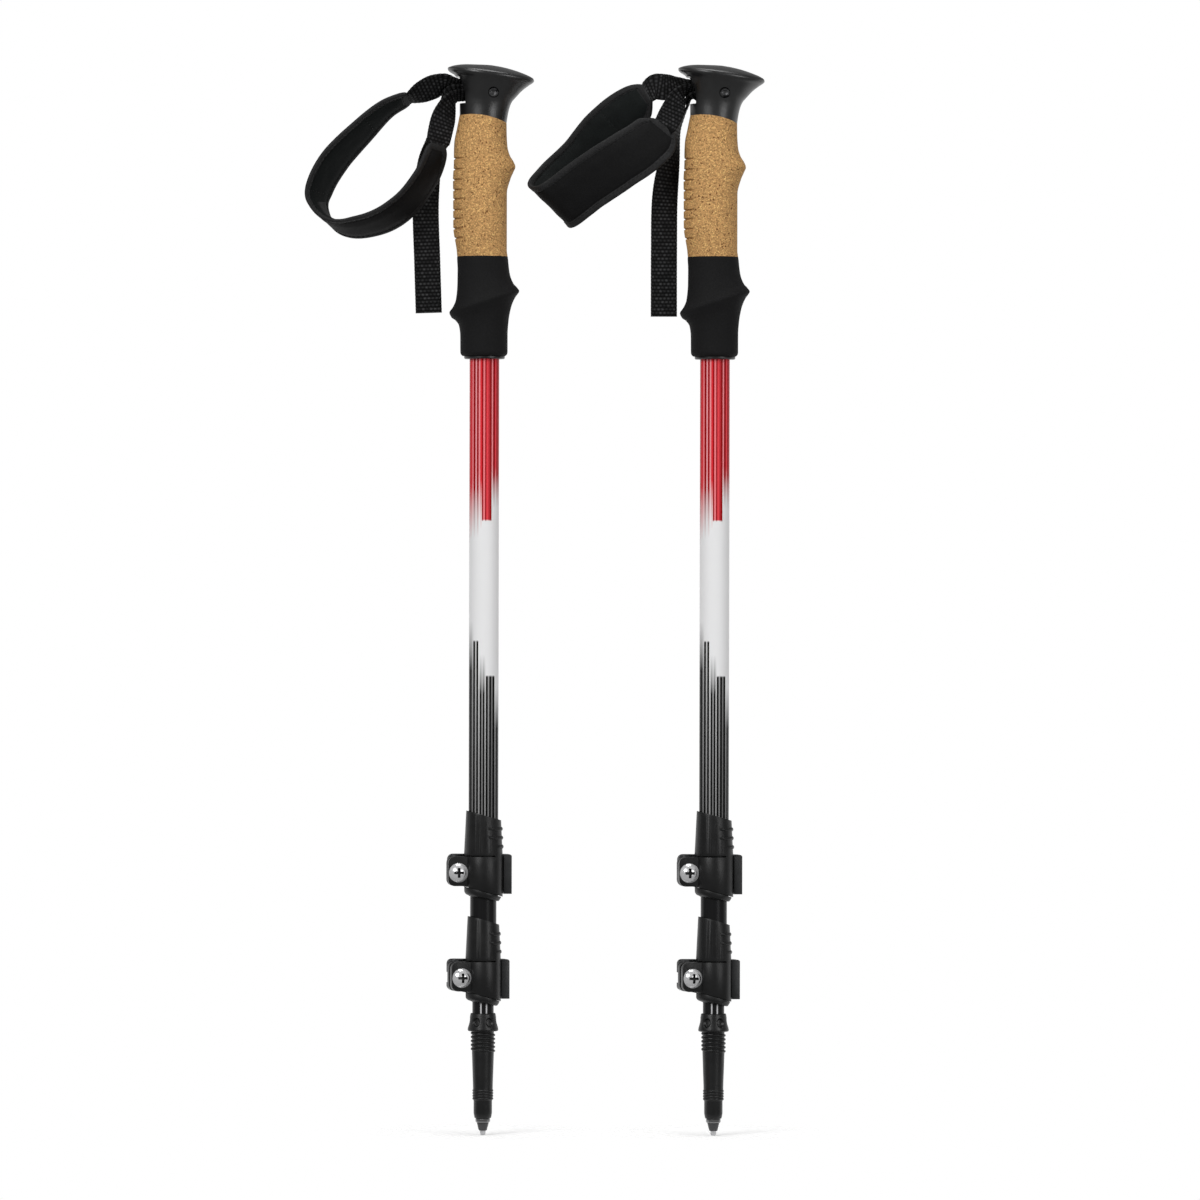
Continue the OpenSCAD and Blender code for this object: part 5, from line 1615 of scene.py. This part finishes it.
class POLES_OT_stage(PoleOperator, bpy.types.Operator):
    """White studio with a pale floor, soft lamps and a long-lens camera"""

    bl_idname = "poles.stage"
    bl_label = "Stage"

    def execute(self, context):
        scene = context.scene
        scene.view_settings.view_transform = "Standard"
        middle = sum(axis_x(side) for side in SIDES) / 2
        rim = [Vector((middle + FLOOR_R * math.cos(a), FLOOR_R * math.sin(a), FLOOR_Z)) for a in angles(96)]
        floor = new_piece("floor", rim, [tuple(range(96))], [self.paper()])
        lamps = [self.lamp(*lamp) for lamp in LAMPS]
        data = bpy.data.cameras.new("Camera")
        data.lens, data.sensor_width = CAMERA_LENS, 36
        camera = bpy.data.objects.new("Camera", data)
        camera.location = CAMERA_AT
        camera.rotation_euler = (math.radians(90), math.radians(CAMERA_ROLL), 0)
        scene.collection.objects.link(camera)
        scene.camera = camera
        self.surround(scene)
        return {"FINISHED"}

    def paper(self):
        """White paper, solid near each tip only, so that it hides little of a pole pulled out below it."""
        material, tree, shader = new_material("Paper", Specular_IOR_Level=0.1, Emission_Strength=1.0)
        tooth = noise_at(tree, place(tree), 900.0)
        tree.links.new(blend_colours(tree, tooth, (0.9, 0.9, 0.9), (0.94, 0.94, 0.94)), shader["Base Color"])
        tree.links.new(remap(tree, tooth, 0, 1, 0.85, 0.95), shader["Roughness"])
        spot = put(tree, "ShaderNodeTexCoord").outputs["Object"]
        middles = ({0: spot, 1: (axis_x(side), FLOOR_BACK, 0)} for side in SIDES)
        apart = [put(tree, "ShaderNodeVectorMath", m, operation="DISTANCE").outputs["Value"] for m in middles]
        nearest = maths(tree, "MINIMUM", *apart)
        tree.links.new(remap(tree, nearest, FLOOR_CLEAR, FLOOR_SOLID, soft=True), shader["Alpha"])
        rays = put(tree, "ShaderNodeLightPath").outputs
        mirrored = maths(tree, "MAXIMUM", rays["Is Glossy Ray"], rays["Is Transmission Ray"])
        seen = maths(tree, "MAXIMUM", rays["Is Camera Ray"], mirrored)
        tree.links.new(blend_colours(tree, seen, (0, 0, 0), (0.3, 0.3, 0.3)), shader["Emission Color"])
        return material

    def lamp(self, name, spot, aim, size, power):
        data = bpy.data.lights.new(name, "AREA")
        data.shape, data.size, data.energy = "DISK", size, power
        lamp = bpy.data.objects.new(name, data)
        lamp.location = spot
        lamp.rotation_euler = (Vector(aim) - Vector(spot)).to_track_quat("-Z", "Y").to_euler()
        bpy.context.scene.collection.objects.link(lamp)
        return lamp

    def surround(self, scene):
        """A soft grey light all round, white to the camera and, low at the back, to reflections."""
        world = bpy.data.worlds.new("Studio")
        scene.world = world
        world.use_nodes = True
        tree = world.node_tree
        back = tree.nodes["Background"]
        rays = put(tree, "ShaderNodeLightPath").outputs
        spot = put(tree, "ShaderNodeTexCoord").outputs["Generated"]
        way = put(tree, "ShaderNodeSeparateXYZ", {0: spot}).outputs
        back_half = remap(tree, way["Y"], -0.05, 0.35, soft=True)
        low = times(tree, back_half, remap(tree, way["Z"], 0.3, 0.04, soft=True))
        behind = times(tree, rays["Is Glossy Ray"], low)
        through = maths(tree, "MAXIMUM", rays["Is Transmission Ray"], behind)
        seen = maths(tree, "MAXIMUM", rays["Is Camera Ray"], through)
        level = put(tree, "ShaderNodeMix", {0: seen, 2: 0.3, 3: 1.0}, data_type="FLOAT").outputs[0]
        back.inputs["Color"].default_value = (1, 1, 1, 1)
        tree.links.new(level, back.inputs["Strength"])


# Panel and registration


class POLES_PT_panel(bpy.types.Panel):
    """Steps that build the looks, and their settings"""

    bl_idname = "POLES_PT_panel"
    bl_label = "Trekking poles"
    bl_space_type = "VIEW_3D"
    bl_region_type = "UI"
    bl_category = "Poles"

    def draw(self, context):
        layout = self.layout
        for step in STEPS:
            layout.operator(step.bl_idname)
        for group in (context.scene.pole_sizes, context.scene.pole_colours):
            box = layout.box()
            for key in group.__annotations__:
                box.prop(group, key)


STEPS = (
    POLES_OT_heads,
    POLES_OT_grips,
    POLES_OT_tubes,
    POLES_OT_clamps,
    POLES_OT_tips,
    POLES_OT_straps,
    POLES_OT_stage,
)
CLASSES = (PoleSizes, PoleColours, *STEPS, POLES_PT_panel)


def register():
    for cls in CLASSES:
        bpy.utils.register_class(cls)
    bpy.types.Scene.pole_sizes = PointerProperty(type=PoleSizes)
    bpy.types.Scene.pole_colours = PointerProperty(type=PoleColours)


def unregister():
    del bpy.types.Scene.pole_colours
    del bpy.types.Scene.pole_sizes
    for cls in reversed(CLASSES):
        bpy.utils.unregister_class(cls)


def main():
    """Builds every group of pieces and the stage."""
    register()
    bpy.ops.poles.heads()
    bpy.ops.poles.grips()
    bpy.ops.poles.tubes()
    bpy.ops.poles.clamps()
    bpy.ops.poles.tips()
    bpy.ops.poles.straps()
    bpy.ops.poles.stage()


if __name__ == "__main__":
    main()
